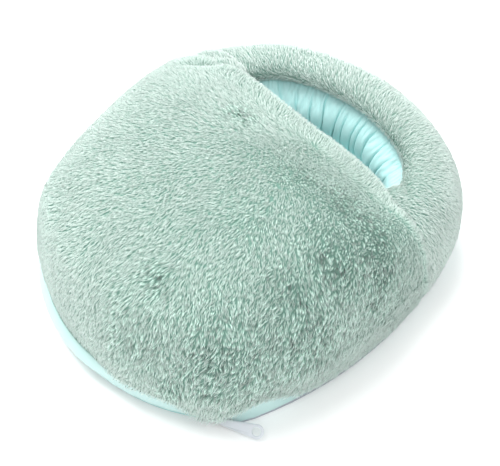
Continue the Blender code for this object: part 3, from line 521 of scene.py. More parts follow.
def lay_of(roots, normals, raised, brushed, random):
    """Direction along the surface that each hair leans to; only the toe cap is brushed to the toe and lip."""
    away = roots - NAP_CENTRE
    away[:, 2] = 0
    away = unit(away)
    if brushed:
        for axis, lay, reach in ((0, TOE_LAY, TOE_LAY_X), (1, LIP_LAY, LIP_LAY_Y)):
            share = fade(roots[:, axis], *reach)[:, None]
            away = unit(away * (1 - share) + lay * share)
    outer = np.clip((normals * away).sum(1, keepdims=True) * 2, 0, 1)
    flow = away + DOWN * outer
    flow = unit(flow - normals * (flow * normals).sum(1, keepdims=True))
    turn = 0.3 * waves(roots, (90 * MM, 47 * MM), 0.4)
    turn += (0.13 + 0.4 * raised) * waves(roots, (19 * MM, 11 * MM), 1.9)
    turn += random.normal(0, 0.25, len(roots))
    return flow * np.cos(turn)[:, None] + np.cross(normals, flow) * np.sin(turn)[:, None]


# %% [markdown]
# ## Roots, lean and length
# The roots are spread evenly over the open skin. The hairs lie nearly flat, and stand up more in the raised
# patches. They are longer where the plush hangs over the band, and shorter where it is tucked in above it.
# %% Roots, lean and length
HAIR_LENGTH, HAIR_WIDTH = 4.8 * MM, 0.36 * MM
HAIR_LEAN, RAISED_LIFT = 71.0, 24.0
HANG_TOP = 45 * MM
HANG_GROWTH, TUCK_LOSS = 0.5, 0.4


def scatter(skin, count, random):
    """Evenly spread roots on a skin: their places, the surface's normals and the skin's area."""
    points, normals, corners = skin
    first, second, third = points[corners].transpose(1, 0, 2)
    areas = np.linalg.norm(np.cross(second - first, third - first), axis=1) / 2
    edges = np.cumsum(areas)
    steps = (np.arange(count) + random.random(count)) / count * edges[-1]
    chosen = corners[np.minimum(np.searchsorted(edges, steps), len(corners) - 1)]
    one, two = np.sqrt(random.random(count)), random.random(count)
    weights = np.stack([1 - one, one * (1 - two), one * two], 1)[:, :, None]
    roots = (points[chosen] * weights).sum(1)
    return roots, unit((normals[chosen] * weights).sum(1)), edges[-1]


def lean_of(roots, raised, random):
    """Angle in radians between each hair and the surface's normal."""
    lean = HAIR_LEAN + (2 + 6 * raised) * waves(roots, (33 * MM, 17 * MM), 3.1)
    lean += random.normal(0, 4, len(roots))
    return np.radians(lean - RAISED_LIFT * raised * (0.7 + 0.3 * waves(roots, (9 * MM, 6 * MM), 0.2)))


def length_of(roots, tucked, brushed, random):
    """Length of each hair."""
    length = 1 + 0.1 * waves(roots, (60 * MM, 9 * MM), 5.2) + random.normal(0, 0.1, len(roots))
    hang = np.minimum(sag_of(roots) / SLIDER_SAG, 1) * brushed
    length *= 1 + HANG_GROWTH * hang * (roots[:, 2] < HANG_TOP)
    return HAIR_LENGTH * length * (1 - TUCK_LOSS * tucked)


# %% [markdown]
# ## Tufts, hem and tone
# Pile meets in small tufts, so each tip is drawn to the tip of the nearest of some chosen hairs. At the hem
# the hairs are cut level just above the ground or the band. Each hair also gets a tone, which holds painted
# light and shade: in the raised patches whole tufts are painted lighter or darker, as the light goes between
# them there, and along the creases the hairs are painted darker, as shade falls in a crease.
# %% Growing the pile
TUFT_SPACING, TUFT_PULL = 1.7 * MM, 0.28
TUFT_LOSS, RAISED_PULL = 0.6, 2.2
HEM_HEIGHT, TUCKED_HEM = 22.5 * MM, 1.2 * MM
HEM_FOLLOWS = 1.45
SHORTEST = 0.3
# Painted light and shade in the tone: raised tufts lighter and darker, creases darker.
RAISED_CONTRAST, RAISED_LIGHT, CREASE_SHADE = 0.5, 0.04, 0.22
TONES = 0.2, 1.3
# Where on the painted root shade each hair starts: lower shows more painted shade; the collar shows less of
# it.
TOE_SHADE_FOOT, COLLAR_SHADE_FOOT = 0.66, 0.78


def tufts_of(roots, raised, area, random):
    """For each hair, the number of the hair that leads its tuft; tufts are larger in raised patches."""
    chance = 1 - TUFT_LOSS * raised
    tuft_count = int(area / TUFT_SPACING ** 2 * chance.mean())
    leaders = random.choice(len(roots), tuft_count, replace=False, p=chance / chance.sum())
    tree = kdtree.KDTree(tuft_count)
    for place, leader in enumerate(leaders):
        tree.insert(roots[leader], place)
    tree.balance()
    print("tufts:", tuft_count)
    return leaders[[tree.find(root)[1] for root in roots]]


def trimmed(roots, tips, tucked, random):
    """Tips that stop at the hem."""
    hem = HEM_HEIGHT + TUCKED_HEM * tucked - HEM_FOLLOWS * sag_of(roots)
    hem += random.normal(0, 1, len(roots)) * MM
    fall = roots[:, 2] - tips[:, 2]
    kept = np.clip((roots[:, 2] - hem) / np.maximum(fall, 1e-6), SHORTEST, 1)
    return np.where((fall > 0)[:, None], roots + (tips - roots) * kept[:, None], tips)


def shaded_tone_of(roots, raised, leaders, random):
    """Tone of each hair, where 1 is plain; raised tufts carry painted light and shade, creases painted shade.
    """
    tone = 1 + 0.03 * waves(roots, (70 * MM, 31 * MM), 0.9) + 0.04 * random.normal(0, 1, len(roots))
    tone += RAISED_CONTRAST * raised * (random.normal(0, 1, len(roots))[leaders] + RAISED_LIGHT)
    # Painted shade: the hairs along the creases are darkened.
    return np.clip(tone - CREASE_SHADE * creased(roots), *TONES)


def grow_pile(skin, count, seed, brushed):
    """Roots, tips, normals, widths, tones and foot shades of the hairs on a skin."""
    random = np.random.default_rng(seed)
    roots, normals, area = scatter(skin, count, random)
    raised, tucked = raised_of(roots), tucked_share(roots) * brushed
    lay = lay_of(roots, normals, raised, brushed, random)
    lean = lean_of(roots, raised, random)
    chord = normals * np.cos(lean)[:, None] + lay * np.sin(lean)[:, None]
    tips = roots + chord * length_of(roots, tucked, brushed, random)[:, None]
    leaders = tufts_of(roots, raised, area, random)
    pull = TUFT_PULL * (0.6 + 0.4 * random.random(count)) * (1 + RAISED_PULL * raised)
    tips += (tips[leaders] - tips) * pull[:, None]
    tips = trimmed(roots, tips, tucked, random)
    tone = shaded_tone_of(roots, raised, leaders, random)
    width = HAIR_WIDTH * (0.8 + 0.4 * random.random(count))
    print("hairs:", count, "on", round(area * 1e4, 1), "square cm")
    # In the raised patches the hairs start at the root of the painted shade, so they are painted darker.
    foot = (TOE_SHADE_FOOT if brushed else COLLAR_SHADE_FOOT) * (1 - raised)
    return roots, tips, normals, width, tone, foot


# %% [markdown]
# ## From hairs to meshes
# Each hair is a stretched and turned copy of the same spike. Copying it one by one would be slow, so one
# multiplication places all the copies, and the mesh is filled in one go. The pile is shared out among several
# pieces by their place round the warmer, so that none gets too heavy.
# %% Pile pieces
HAIRS_EACH = 19600


def stamp(name, hairs):
    """Mesh that holds a copy of the hair for every root and tip."""
    roots, tips, normals, width, tone, foot = hairs
    chord = tips - roots
    length = np.linalg.norm(chord, axis=1)
    along = chord / length[:, None]
    out = unit(normals - along * (normals * along).sum(1, keepdims=True))
    side = np.cross(along, out)
    x, y, z = HAIR_PLACES.T[:, None, :, None]
    wide, long = width[:, None, None], length[:, None, None]
    arch = HAIR_ARCH * np.sin(z * math.pi)
    places = (roots[:, None] + side[:, None] * (y * wide) + out[:, None] * (x * wide + arch * long)
              + along[:, None] * (z * long))
    count, each = len(roots), len(HAIR_PLACES)
    faces = (HAIR_FACES[None] + np.arange(count)[:, None, None] * each).reshape(-1)
    mesh = bpy.data.meshes.new(name)
    mesh.vertices.add(count * each)
    mesh.vertices.foreach_set("co", places.astype(np.float32).ravel())
    mesh.loops.add(len(faces))
    mesh.loops.foreach_set("vertex_index", faces.astype(np.int32))
    mesh.polygons.add(len(faces) // 3)
    mesh.polygons.foreach_set("loop_start", np.arange(0, len(faces), 3, dtype=np.int32))
    mesh.update(calc_edges=True)
    add_values(mesh, "along", foot[:, None] + (1 - foot[:, None]) * HAIR_HEIGHTS[None])
    add_values(mesh, "tone", np.repeat(tone, each))
    return mesh


def share_out(hairs, parts, centre):
    """The hairs in equal numbers, by their place round a centre."""
    roots = hairs[0]
    order = np.argsort(np.arctan2(roots[:, 0] - centre[0], -(roots[:, 1] - centre[1])))
    return [tuple(values[chosen] for values in hairs) for chosen in np.array_split(order, parts)]


def make_pile(name, skin, parts, seed, centre, brushed):
    """The pile of one panel, as a few pieces."""
    hairs = grow_pile(skin, parts * HAIRS_EACH, seed, brushed)
    for number, some in enumerate(share_out(hairs, parts, centre)):
        piece_name = f"{name}_{number + 1}"
        piece = add_piece(piece_name, stamp(piece_name, some), PLUSH)
    print(name, "pieces:", parts)


make_pile("toe_cap_pile", TOE_SKIN, parts=6, seed=11, centre=(0, 20 * MM), brushed=True)
make_pile("heel_collar_pile", COLLAR_SKIN, parts=3, seed=23, centre=(0, 60 * MM), brushed=False)

# %% [markdown]
# ## The gathered lining of the heel
# The cloth inside the collar is cut about a quarter wider than the heel and sewn in with its extra width
# gathered, over stuffing that pushes it forwards. That is why it stands in soft puffs with sharp creases
# between them. A small cloth solver makes just that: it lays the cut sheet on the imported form, keeps every
# thread at its own length, pushes the sheet forwards and holds its edges in their seams.
# %% Lining: the form that the cloth lies on
HEEL_CENTRE = Vector((0, 0.045, 0))
HEEL_TURN = 76.0
LINING_LOW, LINING_HIGH = 27.3 * MM, 79.5 * MM
LINING_COLUMNS, LINING_ROWS = 270, 36
PLEAT_SMOOTHING = 60


def lining_base():
    """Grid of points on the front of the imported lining, with its coarse pleats smoothed away."""
    tree = search_tree([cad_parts["heel_lining"].data])
    grid = np.zeros((LINING_COLUMNS + 1, LINING_ROWS + 1, 3))
    for row, height in enumerate(np.linspace(LINING_LOW, LINING_HIGH, LINING_ROWS + 1)):
        start, misses = HEEL_CENTRE + Vector((0, 0, height)), []
        for column, turn in enumerate(np.radians(np.linspace(-HEEL_TURN, HEEL_TURN, LINING_COLUMNS + 1))):
            way = Vector((math.sin(turn), math.cos(turn), 0))
            hit = tree.ray_cast(start, way)
            if hit[0]:
                grid[column, row] = hit[0]
            else:
                misses.append((column, way))
        known = [column for column in range(LINING_COLUMNS + 1) if grid[column, row].any()]
        for column, way in misses:
            nearest = min(known, key=lambda other: abs(other - column))
            reach = (Vector(grid[nearest, row]) - start).length
            grid[column, row] = start + way * reach
    for _ in range(PLEAT_SMOOTHING):
        grid[1:-1] = (grid[:-2] + 2 * grid[1:-1] + grid[2:]) / 4
    return grid


LINING_BASE = lining_base()
MIDDLE_STEPS = np.diff(LINING_BASE[:, LINING_ROWS // 2], axis=0)
print("lining: width", round(float(np.linalg.norm(MIDDLE_STEPS, axis=1).sum()) * 1e3), "mm")

# %% Lining: the cloth solver
FULLNESS = 1.26
LINING_TALL = 1.04
STUFFING_PUSH = 0.030 * MM
# The first ripples only tell the folds where to start; each set drifts and wanders a little.
RIPPLE_LENGTHS = [6 * MM, 8 * MM, 12 * MM, 19 * MM]
RIPPLE_HEIGHT, RIPPLE_DRIFT, RIPPLE_WANDER = 0.3 * MM, 0.8, 47 * MM
# How far the cloth may stand off its base at its edges, and how much further between them.
AHEAD, BEHIND = (1.2 * MM, 5.5 * MM), (1.0 * MM, 1.6 * MM)
# Stiffness of the threads' slants, and of bends across and up.
SLANT, BEND_ACROSS, BEND_UP = 0.3, 0.12, 0.3
SPEED_KEPT, LENGTH_ROUNDS, OVERSHOOT = 0.85, 5, 1.4
QUICK_STEPS, FULL_STEPS = 60, 200


def grid_normals(points):
    """Unit normals of a grid of points, towards the foot."""
    across, up = np.gradient(points, axis=0), np.gradient(points, axis=1)
    normals = np.cross(across, up)
    normals /= np.maximum(np.linalg.norm(normals, axis=2, keepdims=True), 1e-12)
    toward = np.array(HEEL_CENTRE) - points
    return normals * np.sign((normals * toward).sum(2, keepdims=True))


def keep_lengths(points, threads):
    """Moves the points so that every thread gets nearer to its own length."""
    move, weight = np.zeros_like(points), np.zeros((*points.shape[:2], 1))
    for first, second, length, stiffness in threads:
        gap = points[second] - points[first]
        reach = np.linalg.norm(gap, axis=2, keepdims=True)
        shift = gap * (0.5 * stiffness * (reach - length) / reach)
        move[first] += shift
        move[second] -= shift
        weight[first] += stiffness
        weight[second] += stiffness
    return points + OVERSHOOT * move / weight


def gather_cloth(base, rounds, seed):
    """The cloth as it rests on its base, and the width and height of its cut."""
    columns, rows = base.shape[:2]
    random = np.random.default_rng(seed)
    arc = np.concatenate([[0], np.cumsum(np.linalg.norm(np.diff(base[:, rows // 2], axis=0), axis=1))])
    across = arc[-1] * FULLNESS / (columns - 1)
    up = float(np.linalg.norm(np.diff(base, axis=1), axis=2).mean()) * LINING_TALL
    front = grid_normals(base)
    height = np.linspace(0, 1, rows)[None]
    ripple = np.zeros((columns, rows))
    for length in RIPPLE_LENGTHS:
        drift = random.normal(0, RIPPLE_DRIFT)
        wave = arc[:, None] / length * math.tau + random.random() * math.tau + drift * 2 * height
        ripple += np.sin(wave + 0.9 * np.sin(arc[:, None] / RIPPLE_WANDER * math.tau + drift))
    points = base + front * (ripple * RIPPLE_HEIGHT)[..., None]
    free = np.sin(math.pi * height) ** 0.5
    ahead, behind = AHEAD[0] + AHEAD[1] * free, BEHIND[0] + BEHIND[1] * free
    all_of, most, rest = slice(None), slice(None, -1), slice(1, None)
    slant = math.hypot(across, up)
    threads = [((most, all_of), (rest, all_of), across, 1.0), ((all_of, most), (all_of, rest), up, 1.0),
               ((most, most), (rest, rest), slant, SLANT), ((rest, most), (most, rest), slant, SLANT),
               ((slice(None, -2), all_of), (slice(2, None), all_of), 2 * across, BEND_ACROSS),
               ((all_of, slice(None, -2)), (all_of, slice(2, None)), 2 * up, BEND_UP)]
    speed = np.zeros_like(points)
    for _ in range(rounds):
        before = points
        points = points + speed * SPEED_KEPT + grid_normals(points) * STUFFING_PUSH
        for _ in range(LENGTH_ROUNDS):
            points = keep_lengths(points, threads)
            off = ((points - base) * front).sum(2)
            points += front * (np.clip(off, -behind, ahead) - off)[..., None]
            for edge in (0, -1):
                out = ((points[:, edge] - base[:, edge]) * front[:, edge]).sum(1, keepdims=True)
                points[:, edge] = base[:, edge] + front[:, edge] * out
                points[edge] = base[edge]
        speed = points - before
    return points, across * (columns - 1), up * (rows - 1)


def add_grid(name, points):
    """Mesh of a grid of points."""
    shape = bmesh.new()
    verts = [[shape.verts.new(point) for point in line] for line in points]
    for near, far in zip(verts, verts[1:]):
        for row in range(len(near) - 1):
            shape.faces.new((near[row], far[row], far[row + 1], near[row + 1]))
    return mesh_of(shape, name)


STEPS = FULL_STEPS
LINING_POINTS, LINING_WIDTH, LINING_HEIGHT = gather_cloth(LINING_BASE, STEPS, seed=5)
LINING_MESH = add_grid("heel_lining_cloth", LINING_POINTS)
print("cut:", round(LINING_WIDTH * 1e3), "x", round(LINING_HEIGHT * 1e3), "mm, area over cut:",
      round(sum(face.area for face in LINING_MESH.polygons) / LINING_WIDTH / LINING_HEIGHT, 3))

# %% [markdown]
# ## The lining's cloth
# The lining is plain woven polyester. Its threads are too fine to be seen one by one, so a fine noise stands
# for them and only breaks up the light. Modelled threads would weigh far too much for that.
# %% Lining material
LINING_COLOUR = "BFEDEC"


def woven_material(name, colour, thread, roughness, depth):
    """Plain woven polyester: fine threads that only soften the light."""
    material, tree, shader = new_material(name, {
        "Base Color": linear(colour), "Roughness": roughness, "Sheen Weight": 0.15, "Sheen Roughness": 0.4})
    add_grain(tree, shader, thread, 2.0, 0.35, depth)
    return material


LINING_CLOTH = woven_material("woven_polyester_lining", LINING_COLOUR, 0.5 * MM, 0.6, 0.05 * MM)


def make_heel_lining():
    """The gathered sheet inside the collar."""
    piece = add_piece("heel_lining_cloth", LINING_MESH, LINING_CLOTH)
    thick = piece.modifiers.new("thickness", "SOLIDIFY")
    thick.thickness, thick.offset = 0.5 * MM, 0
    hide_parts("heel_lining")


make_heel_lining()

# %% [markdown]
# ## Linings of the toe pocket and the footbed
# These two lie smooth over their stuffing, with only a few soft waves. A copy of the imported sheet, smoothed
# and moved in and out by slow waves, gives that.
# %% Smooth linings
WAVE_HEIGHT = 0.25 * MM


def one_side(mesh):
    """Area of a thin closed sheet, counted once."""
    area = sum(face.area for face in mesh.polygons) / 2
    print(mesh.name, "area:", round(area * 1e4), "square cm")
    return area


def make_smooth_lining(node, name, levels):
    """Softly waved copy of a packed lining."""
    mesh = subdivided(mesh_of(welded(node), name), levels)
    points, normals, _ = read_mesh(mesh)
    rise = WAVE_HEIGHT * waves(points, (41 * MM, 23 * MM), 0.7)
    move_vertices(mesh, points + normals * rise[:, None])
    piece = add_piece(name, mesh, LINING_CLOTH)
    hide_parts(node)
    area = one_side(mesh)


make_smooth_lining("toe_pocket_lining", "toe_pocket_cloth", 2)
make_smooth_lining("footbed_lining", "footbed_cloth", 1)

# %% [markdown]
# ## The band round the base
# The band is smooth woven cloth. It puckers a little where it is sewn to the plush, so its surface gets slow
# waves that fade towards the ground. On the -X side its stuffing swells it, but where the zip runs below only
# its upper part can swell. Along the +X side the plush presses it in. Its lowest few millimetres are coloured
# a darker grey lilac.
# %% Band
BAND_COLOUR = "C0E0DD"
LOW_EDGE_COLOUR = "A9B2BC"
LOW_EDGE_HEIGHT = 2.2 * MM
PUCKER, PUCKER_HEIGHTS = 0.21 * MM, (9 * MM, 25 * MM)
BAND_FULLNESS, BAND_DENT = 3.5 * MM, 3 * MM
ZIP_STARTS, ZIP_ENDS = (-50, -44), (14, -6)
ZIP_FULLNESS, PULL_TOP = 1.45, 11.5 * MM
LONGEST_EDGE, EDGE_CUTS = 6 * MM, 5


def band_material():
    """Woven polyester, calendered: smooth, darker grey lilac along its lowest few millimetres."""
    material, tree, shader = new_material("calendered_polyester_band", {
        "Roughness": 0.55, "Sheen Weight": 0.1})
    _, place = add_grain(tree, shader, 0.45 * MM, 2.0, 0.3, 0.05 * MM)
    height = add_node(tree, "ShaderNodeSeparateXYZ", {"Vector": place}).outputs["Z"]
    above = add_node(tree, "ShaderNodeMath", {0: height, 1: LOW_EDGE_HEIGHT}, operation="GREATER_THAN")
    mix_colours(tree, shader, above.outputs[0], LOW_EDGE_COLOUR, BAND_COLOUR)
    return material


BAND_CLOTH = band_material()


def make_band():
    """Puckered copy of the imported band."""
    shape = welded("side_band")
    long_edges = [edge for edge in shape.edges if edge.calc_length() > LONGEST_EDGE]
    bmesh.ops.subdivide_edges(shape, edges=long_edges, cuts=EDGE_CUTS, use_grid_fill=True)
    bmesh.ops.triangulate(shape, faces=shape.faces)
    mesh = mesh_of(shape, "side_band_cloth")
    points, normals, _ = read_mesh(mesh)
    turn, height = turn_of(points), points[:, 2]
    over_zip = fade(turn, *ZIP_STARTS)
    lowest = PULL_TOP * over_zip
    rise = np.clip((height - lowest) / (SEAM_HEIGHT - lowest), 0, 1)
    full = np.sin(math.pi * rise) * (1 + (ZIP_FULLNESS - 1) * over_zip)
    full *= fade(turn, *ZIP_ENDS) * fade(turn, *BAND_SHOWS)
    pressed = np.sin(math.pi * np.clip(height / SEAM_HEIGHT, 0, 1)) * side_share(points)
    points = points + outward_of(points) * (BAND_FULLNESS * full - BAND_DENT * pressed)[:, None]
    puckers = PUCKER * fade(height, *PUCKER_HEIGHTS) * waves(points, (13 * MM, 19 * MM), 0.3)
    move_vertices(mesh, points + normals * puckers[:, None])
    piece = add_piece("side_band_cloth", mesh, BAND_CLOTH)
    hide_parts("side_band")
    area = one_side(mesh)


make_band()

# %% [markdown]
# ## The zip
# A coil zip is two nylon wires wound like springs and sewn to woven tapes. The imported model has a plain
# round arc for each coil, which gives the place, the height and both ends. A helix wound round that arc is
# the coil.
# %% Zip coils
COIL_PITCH = 1.2 * MM
COIL_RADIUS = 0.5 * MM
COIL_WIRE = 0.17 * MM
COIL_STEPS = 9
COIL_COLOUR = "A6D3CF"


def coil_material():
    """Monofilament nylon, dyed: a soft gloss on a thin wire."""
    return new_material("dyed_nylon_monofilament", {"Base Color": linear(COIL_COLOUR), "Roughness": 0.35})[0]


NYLON = coil_material()


def curve_shape(curve):
    """Closed surface of a thick curve."""
    shape = bmesh.new()
    shape.from_mesh(final_mesh(linked("carrier", curve)))
    bmesh.ops.remove_doubles(shape, verts=shape.verts, dist=0.001 * MM)
    return shape


def make_coil(node):
    """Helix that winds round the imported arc."""
    places = vertex_places(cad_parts[node].data)
    flat = places[:, :2] - np.array([0, TOE_CENTRE_Y])
    radius, height = float(np.linalg.norm(flat, axis=1).mean()), float(places[:, 2].mean())
    turns = np.arctan2(flat[:, 0], -flat[:, 1])
    start, end = float(turns.min()), float(turns.max())
    loops = int(radius * (end - start) / COIL_PITCH)
    curve = bpy.data.curves.new(node + "_wire", "CURVE")
    curve.dimensions = "3D"
    curve.bevel_depth, curve.bevel_resolution, curve.use_fill_caps = COIL_WIRE, 0, True
    spline = curve.splines.new("POLY")
    spline.points.add(loops * COIL_STEPS)
    for step, point in enumerate(spline.points):
        turn = start + (end - start) * step / (loops * COIL_STEPS)
        wind = math.tau * step / COIL_STEPS
        reach = radius + COIL_RADIUS * math.cos(wind)
        point.co = (reach * math.sin(turn), TOE_CENTRE_Y - reach * math.cos(turn),
                    height + COIL_RADIUS * math.sin(wind), 1)
    shape = curve_shape(curve)
    piece = add_piece(node + "_wire", mesh_of(shape, node + "_wire"), NYLON)
    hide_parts(node)
    print(node, "loops:", loops)


make_coil("zip_coil_upper")
make_coil("zip_coil_lower")

# %% [markdown]
# ## The pull
# The pull is a soft moulding, so all its edges are round. Its outline is drawn flat, with the slot of its eye
# and the round hole, and gets its thickness and its rounding. Then it is cut into short lengths, so that its
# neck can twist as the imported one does, and set on its hinge.
# %% Pull
PULL_LENGTH, PULL_TIP = 45 * MM, 5.75 * MM
PULL_EYE, PULL_EYE_LENGTH, PULL_BAR = 4.1 * MM, 6.0 * MM, 1.1 * MM
PULL_NECK_END, PULL_NECK = 15 * MM, 5.8 * MM
PULL_HOLE = 7.0 * MM
PULL_ROUND, PULL_RIM = 0.3 * MM, 0.9 * MM
PULL_THICK, PULL_SWELL, TWIST_CUTS = 1.1 * MM, 0.55, 14
PULL_TWIST = -48.0
PULL_TURN = 24.83
PULL_HINGE = (89.89 * MM, -139.89 * MM, 6.0 * MM)
PULL_COLOUR = "DCE2E8"


def pull_material():
    """Soft vinyl, injection moulded: milky, a little light passes through it."""
    return new_material("moulded_soft_vinyl", {
        "Base Color": linear(PULL_COLOUR), "Roughness": 0.32, "Transmission Weight": 0.12, "IOR": 1.45})[0]


def circle_points(centre, radius, low, high, steps):
    """Points of an arc, counted in degrees from +X."""
    turns = [math.radians(low + (high - low) * step / steps) for step in range(steps + 1)]
    return [(centre + radius * math.cos(turn), radius * math.sin(turn)) for turn in turns]


def pull_outlines():
    """Closed outlines of the pull: its edge, its hole and its slot, drawn in by the rounding."""
    half = PULL_EYE / 2 - PULL_ROUND
    neck = PULL_NECK / 2 - PULL_ROUND
    centre = PULL_LENGTH - PULL_TIP
    eye_end = PULL_EYE_LENGTH + PULL_BAR
    side = [(-PULL_BAR / 2 + PULL_ROUND, half), (eye_end, half), (PULL_NECK_END, neck)]
    edge = ([(x, -y) for x, y in side] + circle_points(centre, PULL_TIP - PULL_ROUND, -84, 84, 24)
            + list(reversed(side)))
    hole = circle_points(centre, PULL_HOLE / 2 + PULL_ROUND, 0, 360, 32)[:-1]
    slot_half = PULL_EYE / 2 - PULL_RIM + PULL_ROUND
    low, high = PULL_BAR / 2 - PULL_ROUND, PULL_EYE_LENGTH + PULL_ROUND
    slot = [(low, -slot_half), (high, -slot_half), (high, slot_half), (low, slot_half)]
    return edge, hole, slot


def make_pull():
    """The pull on its hinge."""
    curve = bpy.data.curves.new("zip_pull_moulding", "CURVE")
    curve.dimensions, curve.fill_mode = "2D", "BOTH"
    curve.extrude = PULL_THICK / 2 - PULL_ROUND
    curve.bevel_depth, curve.bevel_resolution = PULL_ROUND, 3
    for outline in pull_outlines():
        spline = curve.splines.new("POLY")
        spline.points.add(len(outline) - 1)
        spline.use_cyclic_u = True
        for point, (x, y) in zip(spline.points, outline):
            point.co = (x, y, 0, 1)
    shape = curve_shape(curve)
    start, end = PULL_EYE_LENGTH + PULL_BAR, PULL_NECK_END
    for x in np.linspace(start, end, TWIST_CUTS):
        bmesh.ops.bisect_plane(shape, geom=[*shape.verts, *shape.edges, *shape.faces], plane_co=(x, 0, 0),
                               plane_no=(1, 0, 0))
    bmesh.ops.triangulate(shape, faces=shape.faces)
    for vert in shape.verts:
        share = float(ease((vert.co.x - start) / (end - start)))
        vert.co.z *= 1 + PULL_SWELL * share
        vert.co = Matrix.Rotation(math.radians(90 + PULL_TWIST * share), 3, "X") @ vert.co
    place = Matrix.Translation(PULL_HINGE) @ Matrix.Rotation(math.radians(PULL_TURN), 4, "Z")
    bmesh.ops.transform(shape, matrix=place, verts=shape.verts)
    bmesh.ops.recalc_face_normals(shape, faces=shape.faces)
    piece = add_piece("zip_pull_moulding", mesh_of(shape, "zip_pull_moulding"), pull_material(),
                      "pull_tab")
    piece.data.set_sharp_from_angle(angle=math.radians(50))
    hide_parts("zip_pull_tab")


make_pull()

# %% [markdown]
# ## Everything else
# The pieces inside the base and the power inlet keep their packed forms, because nothing in the
# photograph shows more of them. They get the surfaces of the real ones: one function mixes two close colours
# by a fine noise, and the same noise gives the surface its grain.
# %% Materials of the plain pieces


def speckled_material(name, colours, grain, roughness, depth, metal=0.0):
    """Material with a fine, uneven grain between two close colours."""
    material, tree, shader = new_material(name, {"Roughness": roughness, "Metallic": metal})
    noise, _ = add_grain(tree, shader, grain, 4.0, 0.5, depth)
    mix_colours(tree, shader, noise, *colours)
    return material


# Polyester fibre, carded: soft and white, with loose strands that break up its light.
FIBRE = speckled_material("carded_polyester_fibre", ("DEDEDB", "F4F4F1"), 1.5 * MM, 0.95, 0.8 * MM)
# Polyurethane, foamed: its open cells show as fine pits.
FOAM = speckled_material("foamed_polyurethane", ("CFC9A6", "E6E1C4"), 0.9 * MM, 0.95, 0.4 * MM)
# Polyester felt, bonded: flat and faintly mottled.
FELT = speckled_material("bonded_polyester_felt", ("CFCFCB", "E4E4E0"), 0.7 * MM, 0.9, 0.1 * MM)
# Silicone rubber, extruded: smooth and dull, with a waxy edge to its gloss.
SILICONE = speckled_material("extruded_silicone_rubber", ("B8452F", "C65540"), 4 * MM, 0.45, 0.01 * MM)
# Nylon, injection moulded with a spark eroded grain: nearly black, with a broken gloss.
BLACK_NYLON = speckled_material("moulded_black_nylon", ("17181A", "212224"), 0.35 * MM, 0.5, 0.03 * MM)
# Glass fibre sleeve, braided and varnished: off white and slightly shiny.
SLEEVE = speckled_material("braided_glass_sleeve", ("D3D8DA", "E6EAEB"), 0.5 * MM, 0.4, 0.04 * MM)
# Soft vinyl, extruded: the lead's black jacket with its dull sheen.
JACKET = speckled_material("extruded_soft_vinyl", ("141415", "1D1D1F"), 2 * MM, 0.4, 0.01 * MM)
# Brass, turned and polished: warm, with faint tool marks.
BRASS = speckled_material("turned_polished_brass", ("C9A25A", "DDB970"), 0.3 * MM, 0.22, 0.004 * MM, 1.0)
# Polyester tape, woven in a herringbone: matt, with a fine thread relief.
TAPE = woven_material("woven_zip_tape", "A3D8D4", 0.4 * MM, 0.8, 0.06 * MM)
# Acetal, injection moulded: dense, pale and slightly waxy.
ACETAL = speckled_material("moulded_pale_acetal", ("CDD3D6", "D9DEE0"), 3 * MM, 0.3, 0.005 * MM)

PLAIN_PIECES = {
    "toe_cap_wadding": FIBRE, "lip_wadding": FIBRE, "heel_collar_wadding": FIBRE, "footbed_wadding": FIBRE,
    "sole_panel": BAND_CLOTH, "base_foam": FOAM, "heater_pad_bottom": FELT, "heater_pad_top": FELT,
    "heating_wire": SILICONE, "thermostat": BLACK_NYLON, "thermal_fuse": SLEEVE, "lead_splice": BLACK_NYLON,
    "heater_lead": JACKET, "inlet_body": BLACK_NYLON, "inlet_bezel": BLACK_NYLON, "inlet_clip": BLACK_NYLON,
    "inlet_pin_left": BRASS, "inlet_pin_right": BRASS, "zip_tape_upper": TAPE, "zip_tape_lower": TAPE,
    "zip_slider": ACETAL, "zip_stop_closed": NYLON, "zip_stop_open": NYLON,
}
for plain_name, plain_material in PLAIN_PIECES.items():
    dress(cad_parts[plain_name], plain_material)
print("plain pieces:", len(PLAIN_PIECES))

# %% [markdown]
# ## The light, the floor and the background
# The photograph was taken in a white studio with large soft lights. Two wide suns stand for them, and a plain
# world fills the shadows. The camera and the glossy surfaces see a pure white world, as behind a cut out
# product. The floor is pale paper that glows a little, so the shadow on it stays light.
# %% Stage
WORLD_STRENGTH = 0.62
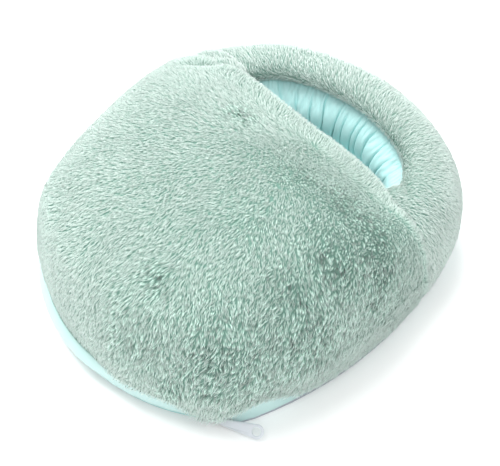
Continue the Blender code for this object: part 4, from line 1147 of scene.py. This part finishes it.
# Azimuth, elevation and spread in degrees, with the strength in third place.
SUNS = {"key": (-100.0, 62.0, 3.4, 40), "fill": (52.0, 58.0, 1.0, 60)}
FLOOR_SIZE, FLOOR_DROP, FLOOR_GLOW = 3.0, 0.2 * MM, 0.12


def add_sun(name, azimuth, elevation, strength, spread):
    """Soft sun that shines from an azimuth and an elevation."""
    light = bpy.data.lights.new(name, "SUN")
    light.energy = strength
    light.angle = math.radians(spread)
    lamp = linked(name, light)
    turn, rise = math.radians(azimuth), math.radians(elevation)
    source = Vector((math.sin(turn) * math.cos(rise), -math.cos(turn) * math.cos(rise), math.sin(rise)))
    lamp.rotation_euler = source.to_track_quat("Z", "Y").to_euler()


def light_stage():
    """World, suns and floor."""
    world = bpy.data.worlds.new("studio")
    world.use_nodes = True
    tree = world.node_tree
    tree.nodes.clear()
    path = add_node(tree, "ShaderNodeLightPath")
    soft = add_node(tree, "ShaderNodeBackground", {"Color": (1, 1, 1, 1), "Strength": WORLD_STRENGTH})
    white = add_node(tree, "ShaderNodeBackground", {"Color": (1, 1, 1, 1), "Strength": 1.0})
    seen = path.outputs["Is Camera Ray"]
    for kind in ("Is Glossy Ray", "Is Transmission Ray"):
        both_kinds = {0: seen, 1: path.outputs[kind]}
        seen = add_node(tree, "ShaderNodeMath", both_kinds, operation="MAXIMUM").outputs[0]
    both = add_node(tree, "ShaderNodeMixShader", {0: seen, 1: soft.outputs[0], 2: white.outputs[0]})
    add_node(tree, "ShaderNodeOutputWorld", {"Surface": both.outputs[0]})
    bpy.context.scene.world = world
    for name, (azimuth, elevation, strength, spread) in SUNS.items():
        add_sun(name, azimuth, elevation, strength, spread)
    shape = bmesh.new()
    bmesh.ops.create_grid(shape, x_segments=1, y_segments=1, size=FLOOR_SIZE)
    floor = linked("floor", mesh_of(shape, "floor"))
    floor.location.z = -FLOOR_DROP
    dress(floor, new_material("pale_paper", {
        "Roughness": 0.9, "Base Color": linear("F4F5F5"), "Emission Color": (1, 1, 1, 1),
        "Emission Strength": FLOOR_GLOW})[0])


light_stage()
bpy.context.scene.view_settings.view_transform = "Standard"
